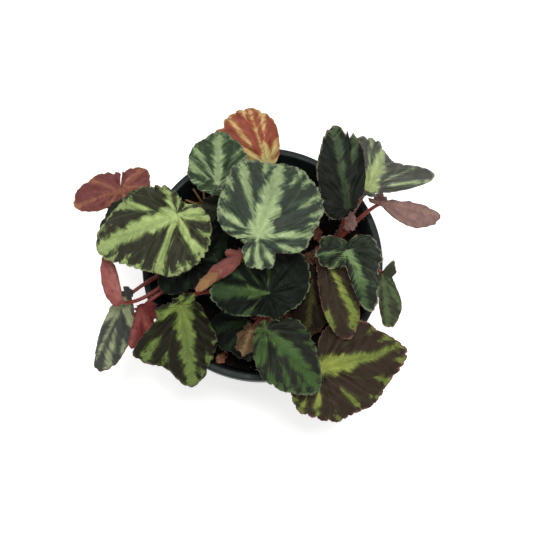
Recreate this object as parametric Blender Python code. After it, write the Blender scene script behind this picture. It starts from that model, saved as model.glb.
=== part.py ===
"""Potted begonia: a rhizome begonia with striped, toothed leaves in a dark green nursery pot.

Metres, +Z up. The origin is the middle of the pot's underside, where the pot stands.
Sizes below are in millimetres and degrees, and MM turns them into metres.
"""

import math
from collections import namedtuple

import bpy
import bmesh
from mathutils import Matrix, Vector, noise

MM = 0.001
TURN = 2 * math.pi
CREASE = 35
LEAF_CREASE = 60
SAME_POINT = 1e-6

# Pot: a thin tapered tub with a rolled lip, a skirt under the lip and drain holes round the floor
RIM_RADIUS = 76.0
POT_HEIGHT = 110.0
FLOOR_RADIUS = 54.0
WALL = 1.4
FLOOR = 2.0
LIP_WIDTH = 3.2
LIP_THICK = 2.2
LIP_ROUND = 1.2
SKIRT_DROP = 12.0
STEP_HEIGHT = 78.0
STEP_WIDTH = 1.2
DRAIN_COUNT = 8
DRAIN_RADIUS = 5.0
DRAIN_RING = 41.0
DRAIN_SIDES = 12
DRAIN_CUT = 20.0
POT_SIDES = 48

# Soil: fills the pot to 18 mm under the rim
SOIL_DROP = 18.0
SOIL_CROWN = 3.0
SOIL_LUMP = 1.6
SOIL_LUMP_SCALE = 9.0
SOIL_RINGS = 6
SOIL_EDGE = 0.6
SOIL_SHRINK = 0.5
CLEAR = 0.35

# Leaf blades. A sheet has rings of points at shares of its reach, teeth as a share of it, and a slit of
# SLIT degrees at the sinus, beside which the lobes are rounded off. The tip is drawn out a little.
BLADE = 0.8
RING_SHARES = (0.42, 0.76, 1.0)
EDGE_POINTS = 40
TOOTH = 0.025
SLIT = 5.0
LOBE_ROUND = 0.3
LOBE_REACH = 24.0
TIP_SHARE = 0.07
TIP_REACH = 13.0
WAVES = 9
BEND_STEPS = 24
NO_BEND = 1e-9

# Petioles and rhizomes. A petiole leaves its rhizome leaning FOOT_LEAN towards its leaf, reaches its blade
# from underneath and from behind (NECK_UNDER, NECK_ALONG), and the pulls say how far it keeps each way.
PETIOLE_FOOT = 1.5
PETIOLE_NECK = 1.1
PETIOLE_SIDES = 7
PETIOLE_RINGS = 9
LEAN = 25.0
FIRST_STALK = 0.12
STALK_SPAN = 0.76
FOOT_LEAN = 0.5
FOOT_PULL = 0.45
NECK_PULL = 0.3
NECK_UNDER = 0.55
NECK_ALONG = 0.45
RHIZOME_RADIUS = 4.2
RHIZOME_SIDES = 10
RHIZOME_SINK = 1.0

SOIL_TOP = POT_HEIGHT - SOIL_DROP

# A crown is one creeping rhizome: its middle, the way it creeps and its length
Crown = namedtuple("Crown", "name x y heading length")
CROWNS = (
    Crown("west", -26, 2, 160, 26),
    Crown("east", 38, 8, 30, 26),
    Crown("south", 10, -28, -60, 24),
    Crown("north", -2, 34, 100, 22),
)

# A leaf: the crown it grows from and how far along it, its attachment point (x, y, z),
# the way its midrib runs from there (heading, rise), its turn about the midrib (bank),
# its reach from the attachment to the margin at each eighth or sixteenth of a turn, from the tip round
# to the left, the angle of its sinus from the midrib, and how it is bent: across the midrib at the left
# and right edge (+ up), along it (+ tip down), a fold at the midrib (+ up), and its margin's wave.
# face is 1 with the green side up and -1 with the red side up.
Leaf = namedtuple(
    "Leaf",
    "name crown share x y z heading rise bank reach sinus"
    " curl_left curl_right arch fold wave face",
)
LEAVES = (
    Leaf("leaf_01", 3, 0.1, -1, -2, 172, 72, 8, 0,
         (44.5, 49, 41, 30, 24.5, 16, 10, 13, 17, 18, 19.5, 14.5, 26.5, 33, 42.5, 49.5),
         115, -20, -20, 26, 0, 2.0, 1),
    Leaf("leaf_02", 0, 0.6, -48, 13, 165, 198, -6, 0,
         (52, 42, 36.5, 35.5, 31.5, 27, 22.5, 19.5, 15, 12, 12.5, 14, 18, 26, 34.5, 44.5),
         -135, -18, -18, 28, 0, 1.8, 1),
    Leaf("leaf_03", 3, 0.5, -25, 35, 156, 90, 4, 0,
         (33, 32, 25, 20, 14, 10, 7, 7, 6.5, 9, 12, 14, 18, 21.5, 25, 30.5),
         -158, -14, -18, 20, 0, 1.0, 1),
    Leaf("leaf_04", 3, 0.9, 4, 53, 137, 108, 15, 0,
         (34.5, 39, 38.5, 29, 20, 13, 8, 5, 4, 4, 4, 4, 5, 8.5, 16, 30),
         200, -16, -16, -8, 0, 1.2, -1),
    Leaf("leaf_05", 0, 0.8, -86, 38, 138, 199, 0, 0,
         (28.5, 19.5, 11, 10, 10, 12, 15, 17, 18.5, 21, 17, 17, 14.5, 16, 19.5, 26.5),
         -109, 10, 10, 8, 0, 1.0, -1),
    Leaf("leaf_06", 0, 0.7, -74, 17, 148, 190, -15, 0,
         (24.5, 22, 18, 15, 14, 14, 15, 20),
         150, -10, -10, 15, 0, 1.0, 1),
    Leaf("leaf_07", 0, 0.9, -86, -29, 127, 106, 8, 15,
         (28, 18.5, 11, 7.5, 5.5, 5, 4.5, 3.5, 3.5, 3, 3, 3, 3, 3, 3.5, 5),
         175, 24, 24, -8, 6, 0.8, -1),
    Leaf("leaf_08", 0, 1.0, -84, -25, 118, -120, -20, 0,
         (52, 36, 16, 7, 5, 4, 6, 8.5, 7, 7, 6, 5, 4.5, 5, 8.5, 17),
         150, -35, -35, 25, -10, 1.2, 1),
    Leaf("leaf_09", 0, 0.3, -74, -33, 122, -106, -10, 0,
         (22.5, 21.5, 16.5, 11.5, 10.5, 10.5, 8, 4, 4, 4, 3.5, 3, 4, 4.5, 5.5, 7.5),
         200, 10, 10, 0, 35, 1.0, -1),
    Leaf("leaf_10", 2, 0.1, -47, -35, 141, -80, -14, -14,
         (46.5, 41, 26.5, 15.5, 10, 10, 8.5, 7, 7.5, 7, 6.5, 6, 15, 17, 38.5, 40),
         190, -30, -15, 22, -12, 1.4, 1),
    Leaf("leaf_11", 0, 0.85, -42, -8, 141, 224, -12, 0,
         (24, 17, 16, 16, 12, 13, 17, 19),
         200, -10, -10, 14, 0, 1.0, 1),
    Leaf("leaf_12", 0, 0.0, -10, -6, 152, -141, 0, 0,
         (33, 11.5, 4.5, 3, 3, 3, 3, 3, 3, 3, 3, 3, 3.5, 5.5, 10, 10.5),
         175, 20, 20, 6, 10, 1.5, -1),
    Leaf("leaf_13", 0, 0.15, -20, 15, 136, -108, -6, 0,
         (36, 17, 11, 10, 12, 9, 9, 12),
         160, -10, -10, 16, 0, 1.0, 1),
    Leaf("leaf_14", 3, 0.3, -28, 28, 132, 170, -5, 0,
         (9, 9, 9, 8, 6, 7, 8, 9),
         165, -8, -8, 10, 0, 0.5, 1),
    Leaf("leaf_15", 2, 0.4, 5, -30, 150, 178, -2, 0,
         (33, 27.5, 19, 14.5, 14, 17.5, 16.5, 18.5, 22, 26.5, 31.5, 29, 25, 22, 26, 31),
         114, -18, -16, 22, 0, 1.4, 1),
    Leaf("leaf_17", 2, 0.5, -8, -41, 121, -166, -6, 0,
         (25, 22, 23, 11, 4, 4, 10, 18),
         -160, -12, -12, 14, 0, 1.0, 1),
    Leaf("leaf_19", 2, 0.8, 3, -50, 144, -46, -8, -10,
         (46, 34.5, 28, 18.5, 7.5, 5, 5, 5.5, 6.5, 5.5, 5.5, 7.5, 9.5, 17, 29.5, 39),
         180, -16, -14, 14, -6, 1.2, 1),
    Leaf("leaf_20", 2, 1.0, 35, -70, 121, 15, -4, 0,
         (53.5, 45, 36, 24, 6, 5, 12, 17, 19, 22, 27.5, 28.5, 32.5, 34, 39, 45.5),
         105, -16, -18, 20, 0, 2.0, 1),
    Leaf("leaf_21", 1, 0.1, 39, -8, 140, -75, -12, 0,
         (46.5, 35, 18, 12, 8, 6, 6, 6, 6, 6, 6, 6, 6, 7, 9, 24),
         170, -14, 16, 18, 0, 1.4, 1),
    Leaf("leaf_22", 1, 0.0, 31, -17, 127, -95, -16, 0,
         (31, 20, 12, 11, 11, 11, 12, 20),
         165, -14, -12, 10, 0, 1.2, 1),
    Leaf("leaf_23", 1, 0.4, 51, -5, 152, -70, -14, 0,
         (37, 28.5, 23, 23, 19, 15.5, 10.5, 7.5, 7.5, 12, 17, 17, 19.5, 15.5, 11, 10.5),
         150, -22, -22, 20, -12, 1.2, 1),
    Leaf("leaf_24", 1, 0.6, 74, -14, 127, -83, -14, 0,
         (30.5, 23, 10.5, 6, 7.5, 9, 11, 4.5, 4, 3, 3, 3.5, 4.5, 5, 6, 18),
         180, -10, 60, 12, 0, 1.0, 1),
    Leaf("leaf_25", 1, 0.7, 52, 20, 154, 101, 15, 0,
         (46, 32, 22, 18, 14, 10.5, 7.5, 5, 4, 3, 4, 4, 6, 7.5, 18, 39),
         200, 16, 16, 5, 10, 1.6, 1),
    Leaf("leaf_26", 1, 0.9, 64, 35, 143, 55, 12, 0,
         (23, 30.5, 33, 18, 8, 5.5, 5.5, 6, 5, 4.5, 4.5, 5, 7, 8, 42, 28),
         215, 12, -10, 10, 0, 1.4, 1),
    Leaf("leaf_27", 1, 1.0, 74, 32, 129, -14, 4, -10,
         (34, 7, 5, 5, 7, 8, 7, 5.5, 8, 5, 3, 3, 3, 3, 8, 29),
         247, 12, 12, 0, 10, 1.0, -1),
    Leaf("dried_leaf", 2, 0.7, -6, -48, 131, -112, -20, 0,
         (17, 9, 6, 5, 4, 5, 7, 11),
         180, 50, 50, 30, 20, 1.6, 1),
    Leaf("bract", 1, 0.35, 54.5, 15.5, 130, 95, 25, 0,
         (10, 6, 4, 3, 2, 3, 4, 6),
         180, 25, 25, 20, 0, 0.4, -1),
)
DARK_LEAVES = ("leaf_06", "leaf_11", "leaf_13", "leaf_14", "leaf_17", "leaf_22")

# Dry stalks of lost leaves: a foot in the soil and the ends that lean on the pot's wall
DRY_FOOT = (-38, 40)
DRY_ENDS = ((-45, 50, 104), (-50, 43, 102), (-39, 54, 100))
DRY_RADIUS = 0.9
DRY_FOOT_RADIUS = 2.2
DRY_DEPTH = 7.0

Finish = namedtuple("Finish", "name colour roughness")
POT_GREEN = Finish("pot_green", (0.012, 0.028, 0.022, 1), 0.4)
PEAT = Finish("peat", (0.012, 0.009, 0.007, 1), 0.95)
LEAF_GREEN = Finish("leaf_green", (0.10, 0.19, 0.06, 1), 0.5)
LEAF_DARK = Finish("leaf_dark", (0.03, 0.05, 0.03, 1), 0.5)
LEAF_RED = Finish("leaf_red", (0.32, 0.07, 0.06, 1), 0.55)
STEM_RED = Finish("stem_red", (0.30, 0.06, 0.04, 1), 0.45)
DRY_TAN = Finish("dry_tan", (0.35, 0.22, 0.12, 1), 0.9)


def clear_scene():
    for old in list(bpy.data.objects):
        bpy.data.objects.remove(old)


def material_of(finish):
    """The Principled material of one finish, made once."""
    found = bpy.data.materials.get(finish.name)
    if found:
        return found
    material = bpy.data.materials.new(finish.name)
    material.use_nodes = True
    shader = material.node_tree.nodes["Principled BSDF"]
    shader.inputs["Base Color"].default_value = finish.colour
    shader.inputs["Roughness"].default_value = finish.roughness
    shader.inputs["Metallic"].default_value = 0.0
    return material


def new_object(name, points, faces, finish):
    """A mesh object from points in millimetres."""
    mesh = bpy.data.meshes.new(name)
    mesh.from_pydata([Vector(p) * MM for p in points], [], faces)
    mesh.validate()
    mesh.update()
    obj = bpy.data.objects.new(name, mesh)
    bpy.context.scene.collection.objects.link(obj)
    mesh.materials.append(material_of(finish))
    return obj


def smooth(obj, angle=CREASE):
    obj.data.shade_smooth()
    obj.data.set_sharp_from_angle(angle=math.radians(angle))


def boolean(obj, operation, **target):
    """Applies one Boolean to obj and removes what it used."""
    modifier = obj.modifiers.new("join", "BOOLEAN")
    modifier.operation = operation
    for key, value in target.items():
        setattr(modifier, key, value)
    graph = bpy.context.evaluated_depsgraph_get()
    result = bpy.data.meshes.new_from_object(obj.evaluated_get(graph))
    obj.modifiers.remove(modifier)
    obj.data = result


def union_of(obj, others):
    """obj joined with the others in one Boolean on their collection."""
    group = bpy.data.collections.new(obj.name + "_parts")
    bpy.context.scene.collection.children.link(group)
    for other in others:
        bpy.context.scene.collection.objects.unlink(other)
        group.objects.link(other)
    boolean(obj, "UNION", operand_type="COLLECTION", collection=group)
    for other in others:
        bpy.data.objects.remove(other)
    bpy.data.collections.remove(group)


def cut_by(obj, others):
    """obj with the others cut out of it."""
    group = bpy.data.collections.new(obj.name + "_cuts")
    bpy.context.scene.collection.children.link(group)
    for other in others:
        bpy.context.scene.collection.objects.unlink(other)
        group.objects.link(other)
    boolean(obj, "DIFFERENCE", operand_type="COLLECTION", collection=group)
    for other in others:
        bpy.data.objects.remove(other)
    bpy.data.collections.remove(group)


def turned(name, profile, sides, finish):
    """A closed profile of (radius, height) points turned about the Z axis."""
    mesh = bmesh.new()
    ring = [mesh.verts.new((r * MM, 0, z * MM)) for r, z in profile]
    edges = [mesh.edges.new((a, b)) for a, b in zip(ring, ring[1:])]
    bmesh.ops.spin(
        mesh,
        geom=ring + edges,
        cent=(0, 0, 0),
        axis=(0, 0, 1),
        angle=TURN,
        steps=sides,
        use_merge=True,
    )
    bmesh.ops.remove_doubles(mesh, verts=mesh.verts, dist=SAME_POINT)
    bmesh.ops.recalc_face_normals(mesh, faces=mesh.faces)
    data = bpy.data.meshes.new(name)
    mesh.to_mesh(data)
    mesh.free()
    obj = bpy.data.objects.new(name, data)
    bpy.context.scene.collection.objects.link(obj)
    data.materials.append(material_of(finish))
    return obj


def wall_radius(z):
    """The pot's outer radius at height z, under the skirt."""
    top = RIM_RADIUS - LIP_WIDTH
    return FLOOR_RADIUS + (top - FLOOR_RADIUS) * z / POT_HEIGHT


def inner_radius(z):
    return wall_radius(z) - WALL - (STEP_WIDTH if z < STEP_HEIGHT else 0)


def pot():
    """The tub: flat underside, tapered wall with a stacking step, lip and skirt."""
    edge = RIM_RADIUS - LIP_WIDTH
    outside = [
        (0, 0),
        (FLOOR_RADIUS - 2.5, 0),
        (FLOOR_RADIUS - STEP_WIDTH, 1.5),
        (wall_radius(STEP_HEIGHT) - STEP_WIDTH, STEP_HEIGHT),
        (wall_radius(STEP_HEIGHT + 2), STEP_HEIGHT + 2),
        (edge - 0.3, POT_HEIGHT - LIP_THICK),
        (RIM_RADIUS - 1.3, POT_HEIGHT - LIP_THICK),
        (RIM_RADIUS - 1.8, POT_HEIGHT - SKIRT_DROP),
        (RIM_RADIUS - 0.6, POT_HEIGHT - SKIRT_DROP),
        (RIM_RADIUS, POT_HEIGHT - LIP_ROUND),
        (RIM_RADIUS - 0.8, POT_HEIGHT),
    ]
    inside = [
        (edge - WALL + 0.6, POT_HEIGHT),
        (edge - WALL, POT_HEIGHT - 0.8),
        (inner_radius(STEP_HEIGHT + 2), STEP_HEIGHT + 2),
        (inner_radius(STEP_HEIGHT - 1), STEP_HEIGHT - 1),
        (inner_radius(FLOOR + 2), FLOOR + 2),
        (inner_radius(FLOOR) - 2, FLOOR),
        (0, FLOOR),
    ]
    tub = turned("pot", outside + inside, POT_SIDES, POT_GREEN)
    holes = []
    for k in range(DRAIN_COUNT):
        angle = TURN * (k + 0.5) / DRAIN_COUNT
        bpy.ops.mesh.primitive_cylinder_add(
            vertices=DRAIN_SIDES,
            radius=DRAIN_RADIUS * MM,
            depth=DRAIN_CUT * MM,
            location=(DRAIN_RING * MM * math.cos(angle), DRAIN_RING * MM * math.sin(angle), 0),
        )
        hole = bpy.context.object
        for collection in list(hole.users_collection):
            collection.objects.unlink(hole)
        bpy.context.scene.collection.objects.link(hole)
        holes.append(hole)
    cut_by(tub, holes)
    smooth(tub)
    return tub


def soil_height(x, y):
    """The soil's surface: a low crown with lumps."""
    reach = math.hypot(x, y) / RIM_RADIUS
    lump = noise.noise(Vector((x, y, 3.0)) / SOIL_LUMP_SCALE)
    return SOIL_TOP + SOIL_CROWN * (1 - reach * reach) + SOIL_LUMP * lump


def soil():
    """The potting mix, from the pot's floor to its lumpy surface."""
    top = SOIL_TOP
    side = [
        (inner_radius(top) - CLEAR - SOIL_SHRINK, top - 3),
        (inner_radius(STEP_HEIGHT + 2) - CLEAR, STEP_HEIGHT + 2.2),
        (inner_radius(STEP_HEIGHT - 1) - CLEAR, STEP_HEIGHT - 1),
        (inner_radius(FLOOR + 3) - CLEAR - 0.3, FLOOR + 3.5),
        (inner_radius(FLOOR) - 3.2, FLOOR + CLEAR),
    ]
    points = []
    for k in range(SOIL_RINGS):
        radius = side[0][0] * (1 - k / SOIL_RINGS)
        for j in range(POT_SIDES):
            angle = TURN * j / POT_SIDES
            x, y = radius * math.cos(angle), radius * math.sin(angle)
            points.append((x, y, soil_height(x, y) if k else top - SOIL_EDGE))
    for radius, z in side:
        for j in range(POT_SIDES):
            angle = TURN * j / POT_SIDES
            points.append((radius * math.cos(angle), radius * math.sin(angle), z))
    faces = []
    order = list(range(SOIL_RINGS - 1, -1, -1)) + [SOIL_RINGS + k for k in range(len(side))]
    for above, below in zip(order, order[1:]):
        for j in range(POT_SIDES):
            n = (j + 1) % POT_SIDES
            faces.append(
                (
                    above * POT_SIDES + j,
                    below * POT_SIDES + j,
                    below * POT_SIDES + n,
                    above * POT_SIDES + n,
                )
            )
    middle = len(points)
    points.append((0, 0, soil_height(0, 0)))
    first, last = order[0] * POT_SIDES, order[-1] * POT_SIDES
    faces += [(middle, first + j, first + (j + 1) % POT_SIDES) for j in range(POT_SIDES)]
    faces.append(tuple(last + POT_SIDES - 1 - j for j in range(POT_SIDES)))
    return new_object("soil", points, faces, PEAT)


def leaf_axes(leaf):
    """The leaf's own directions: along the midrib, to its left, and out of its upper face."""
    turn = Matrix.Rotation(math.radians(leaf.heading), 3, "Z")
    turn = turn @ Matrix.Rotation(-math.radians(leaf.rise), 3, "Y")
    turn = turn @ Matrix.Rotation(math.radians(leaf.bank), 3, "X")
    along, left, normal = (Vector(column) for column in turn.transposed())
    return along, left, normal


def outline_radius(leaf, degrees):
    """The blade's reach from its attachment point, at an angle from the midrib: a smooth curve
    through its given reaches, rounded off beside the sinus and drawn out at the tip."""
    count = len(leaf.reach)
    place, t = divmod(degrees % 360 * count / 360, 1)
    before, start, end, after = (leaf.reach[(int(place) + k) % count] for k in (-1, 0, 1, 2))
    lead_out, lead_in = (end - before) / 2, (after - start) / 2
    bend = 2 * (start - end) + lead_out + lead_in
    reach = start + t * (lead_out + t * (end - start - lead_out - bend + t * bend))
    from_sinus = abs((degrees - leaf.sinus + 180) % 360 - 180)
    from_tip = abs((degrees + 180) % 360 - 180)
    reach *= 1 - LOBE_ROUND * math.exp(-((from_sinus / LOBE_REACH) ** 2))
    return reach * (1 + TIP_SHARE * math.exp(-((from_tip / TIP_REACH) ** 2)))


def half_width(leaf, side):
    """The blade's longest given reach from 45 to 135 degrees off the midrib, on one side of it."""
    eighth = len(leaf.reach) // 8
    reaches = leaf.reach if side > 0 else leaf.reach[:1] + leaf.reach[:0:-1]
    return max(reaches[eighth : 3 * eighth + 1])


def cross_bend(leaf, v):
    """Where a point v millimetres left of the midrib comes to lie, as (sideways, up), and the slope there."""
    side, curl = (1, leaf.curl_left) if v >= 0 else (-1, leaf.curl_right)
    half = half_width(leaf, side)
    away, up, slope = 0.0, 0.0, 0.0
    step = abs(v) / BEND_STEPS
    for k in range(BEND_STEPS):
        at = (k + 0.5) * step
        slope = math.radians(curl * at / half + leaf.fold * math.tanh(3 * at / half))
        away += step * math.cos(slope)
        up += step * math.sin(slope)
    return side * away, up, side * slope


def blade_point(leaf, share, degrees, lift=0.0):
    """A point of the blade's middle surface, at a share of its reach and an angle from the midrib."""
    reach = share * outline_radius(leaf, degrees)
    angle = math.radians(degrees)
    u, v = reach * math.cos(angle), reach * math.sin(angle)
    wave = leaf.wave * share**3 * math.sin(math.radians(WAVES * degrees) + leaf.heading)
    sideways, up, slope = cross_bend(leaf, v)
    up = leaf.face * up + (wave + lift) * math.cos(slope)
    sideways -= leaf.face * (wave + lift) * math.sin(slope)
    bend = math.radians(leaf.arch) / leaf.reach[0]
    if abs(bend) > NO_BEND:
        x, drop, tilt = math.sin(bend * u) / bend, (1 - math.cos(bend * u)) / bend, bend * u
    else:
        x, drop, tilt = u, 0.0, 0.0
    along, left, normal = leaf_axes(leaf)
    spot = Vector((leaf.x, leaf.y, leaf.z))
    return (
        spot
        + along * (x + math.sin(tilt) * up)
        + left * sideways
        + normal * (math.cos(tilt) * up - drop)
    )


def blade_normal(leaf, share, degrees):
    """The direction square to the middle surface, on the side of the leaf's own normal."""
    along, left, normal = leaf_axes(leaf)
    if share < 0.05:
        return normal
    across = blade_point(leaf, share, degrees + 1) - blade_point(leaf, share, degrees - 1)
    outward = blade_point(leaf, share + 0.01, degrees) - blade_point(leaf, share - 0.01, degrees)
    return outward.cross(across).normalized()


def leaf_finish(leaf):
    """The finish of the side that shows."""
    if leaf.name == "dried_leaf":
        return DRY_TAN
    if leaf.face < 0:
        return LEAF_RED
    return LEAF_DARK if leaf.name in DARK_LEAVES else LEAF_GREEN


def blade(leaf):
    """The blade as one thin closed sheet, split into triangles alike on both faces."""
    middle = [blade_point(leaf, 0, 0)]
    normals = [blade_normal(leaf, 0, 0)]
    rings = []
    for share in RING_SHARES:
        count = EDGE_POINTS if share == 1.0 else EDGE_POINTS // 2
        ring = []
        for j in range(count + 1):
            degrees = leaf.sinus + SLIT / 2 + (360 - SLIT) * j / count
            tooth = 1 + TOOTH * (-1) ** j if share == 1.0 else 1
            ring.append(len(middle))
            middle.append(blade_point(leaf, share * tooth, degrees))
            normals.append(blade_normal(leaf, share, degrees))
        rings.append(ring)
    sheet = [(0, a, b) for a, b in zip(rings[0], rings[0][1:])]
    sheet += strip(rings[0], rings[1])
    sheet += fan_strip(rings[1], rings[2])
    border = [0] + [ring[0] for ring in rings] + rings[-1][1:] + [ring[-1] for ring in rings[-2::-1]]
    return thick_sheet(leaf.name, middle, normals, sheet, border, leaf_finish(leaf))


def strip(inner, outer):
    """Triangles between two rings with the same number of points."""
    faces = []
    for a, b, c, d in zip(inner, outer, outer[1:], inner[1:]):
        faces += [(a, b, c), (a, c, d)]
    return faces


def fan_strip(inner, outer):
    """Triangles between a ring and one with twice as many steps."""
    faces = []
    for j in range(len(inner) - 1):
        a, d = inner[j], inner[j + 1]
        first, second, third = outer[2 * j : 2 * j + 3]
        faces += [(a, first, second), (a, second, d), (d, second, third)]
    return faces


def thick_sheet(name, middle, normals, sheet, border, finish):
    """A sheet of triangles given its thickness, with a wall round its border."""
    count = len(middle)
    upper = [p + n * BLADE / 2 for p, n in zip(middle, normals)]
    lower = [p - n * BLADE / 2 for p, n in zip(middle, normals)]
    faces = list(sheet) + [(c + count, b + count, a + count) for a, b, c in sheet]
    for a, b in zip(border, border[1:] + border[:1]):
        faces += [(b, a, a + count), (b, a + count, b + count)]
    obj = new_object(name, upper + lower, faces, finish)
    smooth(obj, LEAF_CREASE)
    return obj


def curve_point(a, b, c, d, t):
    """A point of the cubic curve with these four control points."""
    s = 1 - t
    return a * s**3 + b * 3 * s * s * t + c * 3 * s * t * t + d * t**3


def tube(name, centres, radii, sides, finish, last_normal=None):
    """A closed tube through the centres. With last_normal, its last ring lies square to that direction."""
    points, faces = [], []
    side = None
    for k, (centre, radius) in enumerate(zip(centres, radii)):
        before, after = centres[max(k - 1, 0)], centres[min(k + 1, len(centres) - 1)]
        axis = (after - before).normalized()
        if last_normal is not None and k == len(centres) - 1:
            axis = last_normal
        side = side or (Vector((0, 0, 1)) if abs(axis.z) < 0.8 else Vector((1, 0, 0)))
        side = (side - axis * side.dot(axis)).normalized()
        other = axis.cross(side)
        for j in range(sides):
            angle = TURN * j / sides
            points.append(centre + (side * math.cos(angle) + other * math.sin(angle)) * radius)
    for k in range(len(centres) - 1):
        for j in range(sides):
            n = (j + 1) % sides
            low, high = k * sides, (k + 1) * sides
            faces.append((low + j, low + n, high + n, high + j))
    faces.append(tuple(range(sides - 1, -1, -1)))
    faces.append(tuple((len(centres) - 1) * sides + j for j in range(sides)))
    return new_object(name, points, faces, finish)


def rhizome_point(crown, share):
    """A point of the rhizome's axis, from its old end at 0 to its growing tip at 1."""
    angle = math.radians(crown.heading)
    reach = crown.length * (share - 0.5)
    x, y = crown.x + reach * math.cos(angle), crown.y + reach * math.sin(angle)
    return Vector((x, y, SOIL_TOP + SOIL_CROWN + RHIZOME_RADIUS - RHIZOME_SINK))


def rhizome(crown, name, grow, finish):
    """The rhizome as a blunt tube, grow millimetres thicker all round."""
    shares = (-0.02, 0.03, 0.12, 0.35, 0.65, 0.88, 0.97, 1.02)
    girths = (0.35, 0.72, 0.95, 1.0, 1.0, 0.95, 0.72, 0.35)
    longer = (-grow, -grow * 0.7, 0, 0, 0, 0, grow * 0.7, grow)
    way = (rhizome_point(crown, 1) - rhizome_point(crown, 0)).normalized()
    centres = [rhizome_point(crown, s) + way * more for s, more in zip(shares, longer)]
    radii = [RHIZOME_RADIUS * girth + grow for girth in girths]
    return tube(name, centres, radii, RHIZOME_SIDES, finish)


def petiole(leaf, name):
    """The leaf stalk: out of its rhizome, up and over to the underside of its blade."""
    foot = rhizome_point(CROWNS[leaf.crown], FIRST_STALK + STALK_SPAN * leaf.share)
    along, left, normal = leaf_axes(leaf)
    neck = Vector((leaf.x, leaf.y, leaf.z)) - normal * (BLADE / 2 + CLEAR)
    gap = (neck - foot).length
    out = Vector((neck.x - foot.x, neck.y - foot.y, 0))
    rise = Vector((0, 0, 1)) + out * (FOOT_LEAN / max(out.length, 1))
    lean = out * (FOOT_LEAN / max(out.length, LEAN))
    arrive = (normal * NECK_UNDER + along * NECK_ALONG + lean).normalized()
    first = foot + rise.normalized() * gap * FOOT_PULL
    second = neck - arrive * gap * NECK_PULL
    centres, radii = [], []
    for k in range(PETIOLE_RINGS):
        t = k / (PETIOLE_RINGS - 1)
        centres.append(curve_point(foot, first, second, neck, t))
        radii.append(PETIOLE_FOOT + (PETIOLE_NECK - PETIOLE_FOOT) * t)
    return tube(name, centres, radii, PETIOLE_SIDES, STEM_RED, last_normal=normal)


def crown_stems(index):
    """One rhizome with all its petioles, as they grow: one body."""
    crown = CROWNS[index]
    stem = rhizome(crown, "stems_" + crown.name, 0, STEM_RED)
    stalks = [petiole(leaf, leaf.name + "_stalk") for leaf in LEAVES if leaf.crown == index]
    union_of(stem, stalks)
    smooth(stem)
    return stem


def dry_foot(name, grow, finish):
    """The foot of the dry stalks, grow millimetres thicker all round."""
    x, y = DRY_FOOT
    low, high = SOIL_TOP - DRY_DEPTH - grow, SOIL_TOP + 4
    centres = [Vector((x, y, low)), Vector((x, y, high))]
    return tube(name, centres, [DRY_FOOT_RADIUS + grow] * 2, RHIZOME_SIDES, finish)


def dry_stalks():
    """Straw-coloured stalks that still lean on the wall after their leaves have gone."""
    foot = dry_foot("dry_stalks", 0, DRY_TAN)
    straws = []
    for k, end in enumerate(DRY_ENDS):
        start, stop = Vector((*DRY_FOOT, SOIL_TOP + 3.4)), Vector(end)
        middle = (start + stop) / 2 + Vector((0, 0, 2 - k))
        straws.append(tube(f"straw_{k}", [start, middle, stop], [DRY_RADIUS] * 3, 6, DRY_TAN))
    union_of(foot, straws)
    return foot


def main():
    clear_scene()
    pot()
    bed = soil()
    cuts = [rhizome(crown, "trench_" + crown.name, CLEAR, PEAT) for crown in CROWNS]
    cut_by(bed, cuts + [dry_foot("dry_hole", CLEAR, PEAT)])
    dry_stalks()
    for index in range(len(CROWNS)):
        crown_stems(index)
    for leaf in LEAVES:
        blade(leaf)


main()
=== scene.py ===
"""Potted begonia: the looks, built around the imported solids.

A rhizome begonia in a dark green nursery pot. Every blade, stalk, grain and hair is made here at
the place that the solids give it. Sizes in the tables are millimetres and degrees, MM turns them
into metres, and every mesh carries its place in its points.
"""

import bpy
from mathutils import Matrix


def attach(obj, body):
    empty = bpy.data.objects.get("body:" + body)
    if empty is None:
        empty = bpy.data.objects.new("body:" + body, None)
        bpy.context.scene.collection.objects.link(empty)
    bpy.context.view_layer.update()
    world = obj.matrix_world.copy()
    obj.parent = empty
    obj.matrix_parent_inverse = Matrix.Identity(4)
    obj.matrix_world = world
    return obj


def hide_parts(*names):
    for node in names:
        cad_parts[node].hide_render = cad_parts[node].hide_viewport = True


bl_info = {
    "name": "Potted begonia",
    "version": (1, 0, 0),
    "blender": (4, 5, 0),
    "location": "View3D > Sidebar > Begonia",
    "description": "Builds a striped rhizome begonia in its pot",
    "category": "Add Mesh",
}

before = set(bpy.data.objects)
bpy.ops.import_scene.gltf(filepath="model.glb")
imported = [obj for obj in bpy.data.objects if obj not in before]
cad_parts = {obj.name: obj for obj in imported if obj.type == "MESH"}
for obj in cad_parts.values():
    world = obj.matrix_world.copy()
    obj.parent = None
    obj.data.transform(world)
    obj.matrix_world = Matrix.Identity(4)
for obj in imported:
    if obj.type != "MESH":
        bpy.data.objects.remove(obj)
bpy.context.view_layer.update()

import math
from collections import namedtuple
from functools import partial

import bmesh
import bpy
import numpy as np
from mathutils import Matrix, Vector, noise

MM = 0.001
TURN = 2 * math.pi
UP = np.array((0.0, 0.0, 1.0))

# The pot and the soil, as in the solids
RIM_RADIUS = 76.0
POT_HEIGHT = 110.0
FLOOR_RADIUS = 54.0
WALL = 1.4
FLOOR = 2.0
LIP_WIDTH = 3.2
LIP_THICK = 2.2
SKIRT_DROP = 12.0
STEP_HEIGHT = 78.0
STEP_WIDTH = 1.2
DRAIN_COUNT = 8
DRAIN_RADIUS = 5.0
DRAIN_RING = 41.0
SOIL_DROP = 18.0
SOIL_CROWN = 3.0
SOIL_LUMP = 1.6
SOIL_LUMP_SCALE = 9.0
SOIL_TOP = POT_HEIGHT - SOIL_DROP
CLEAR = 0.35

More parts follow.
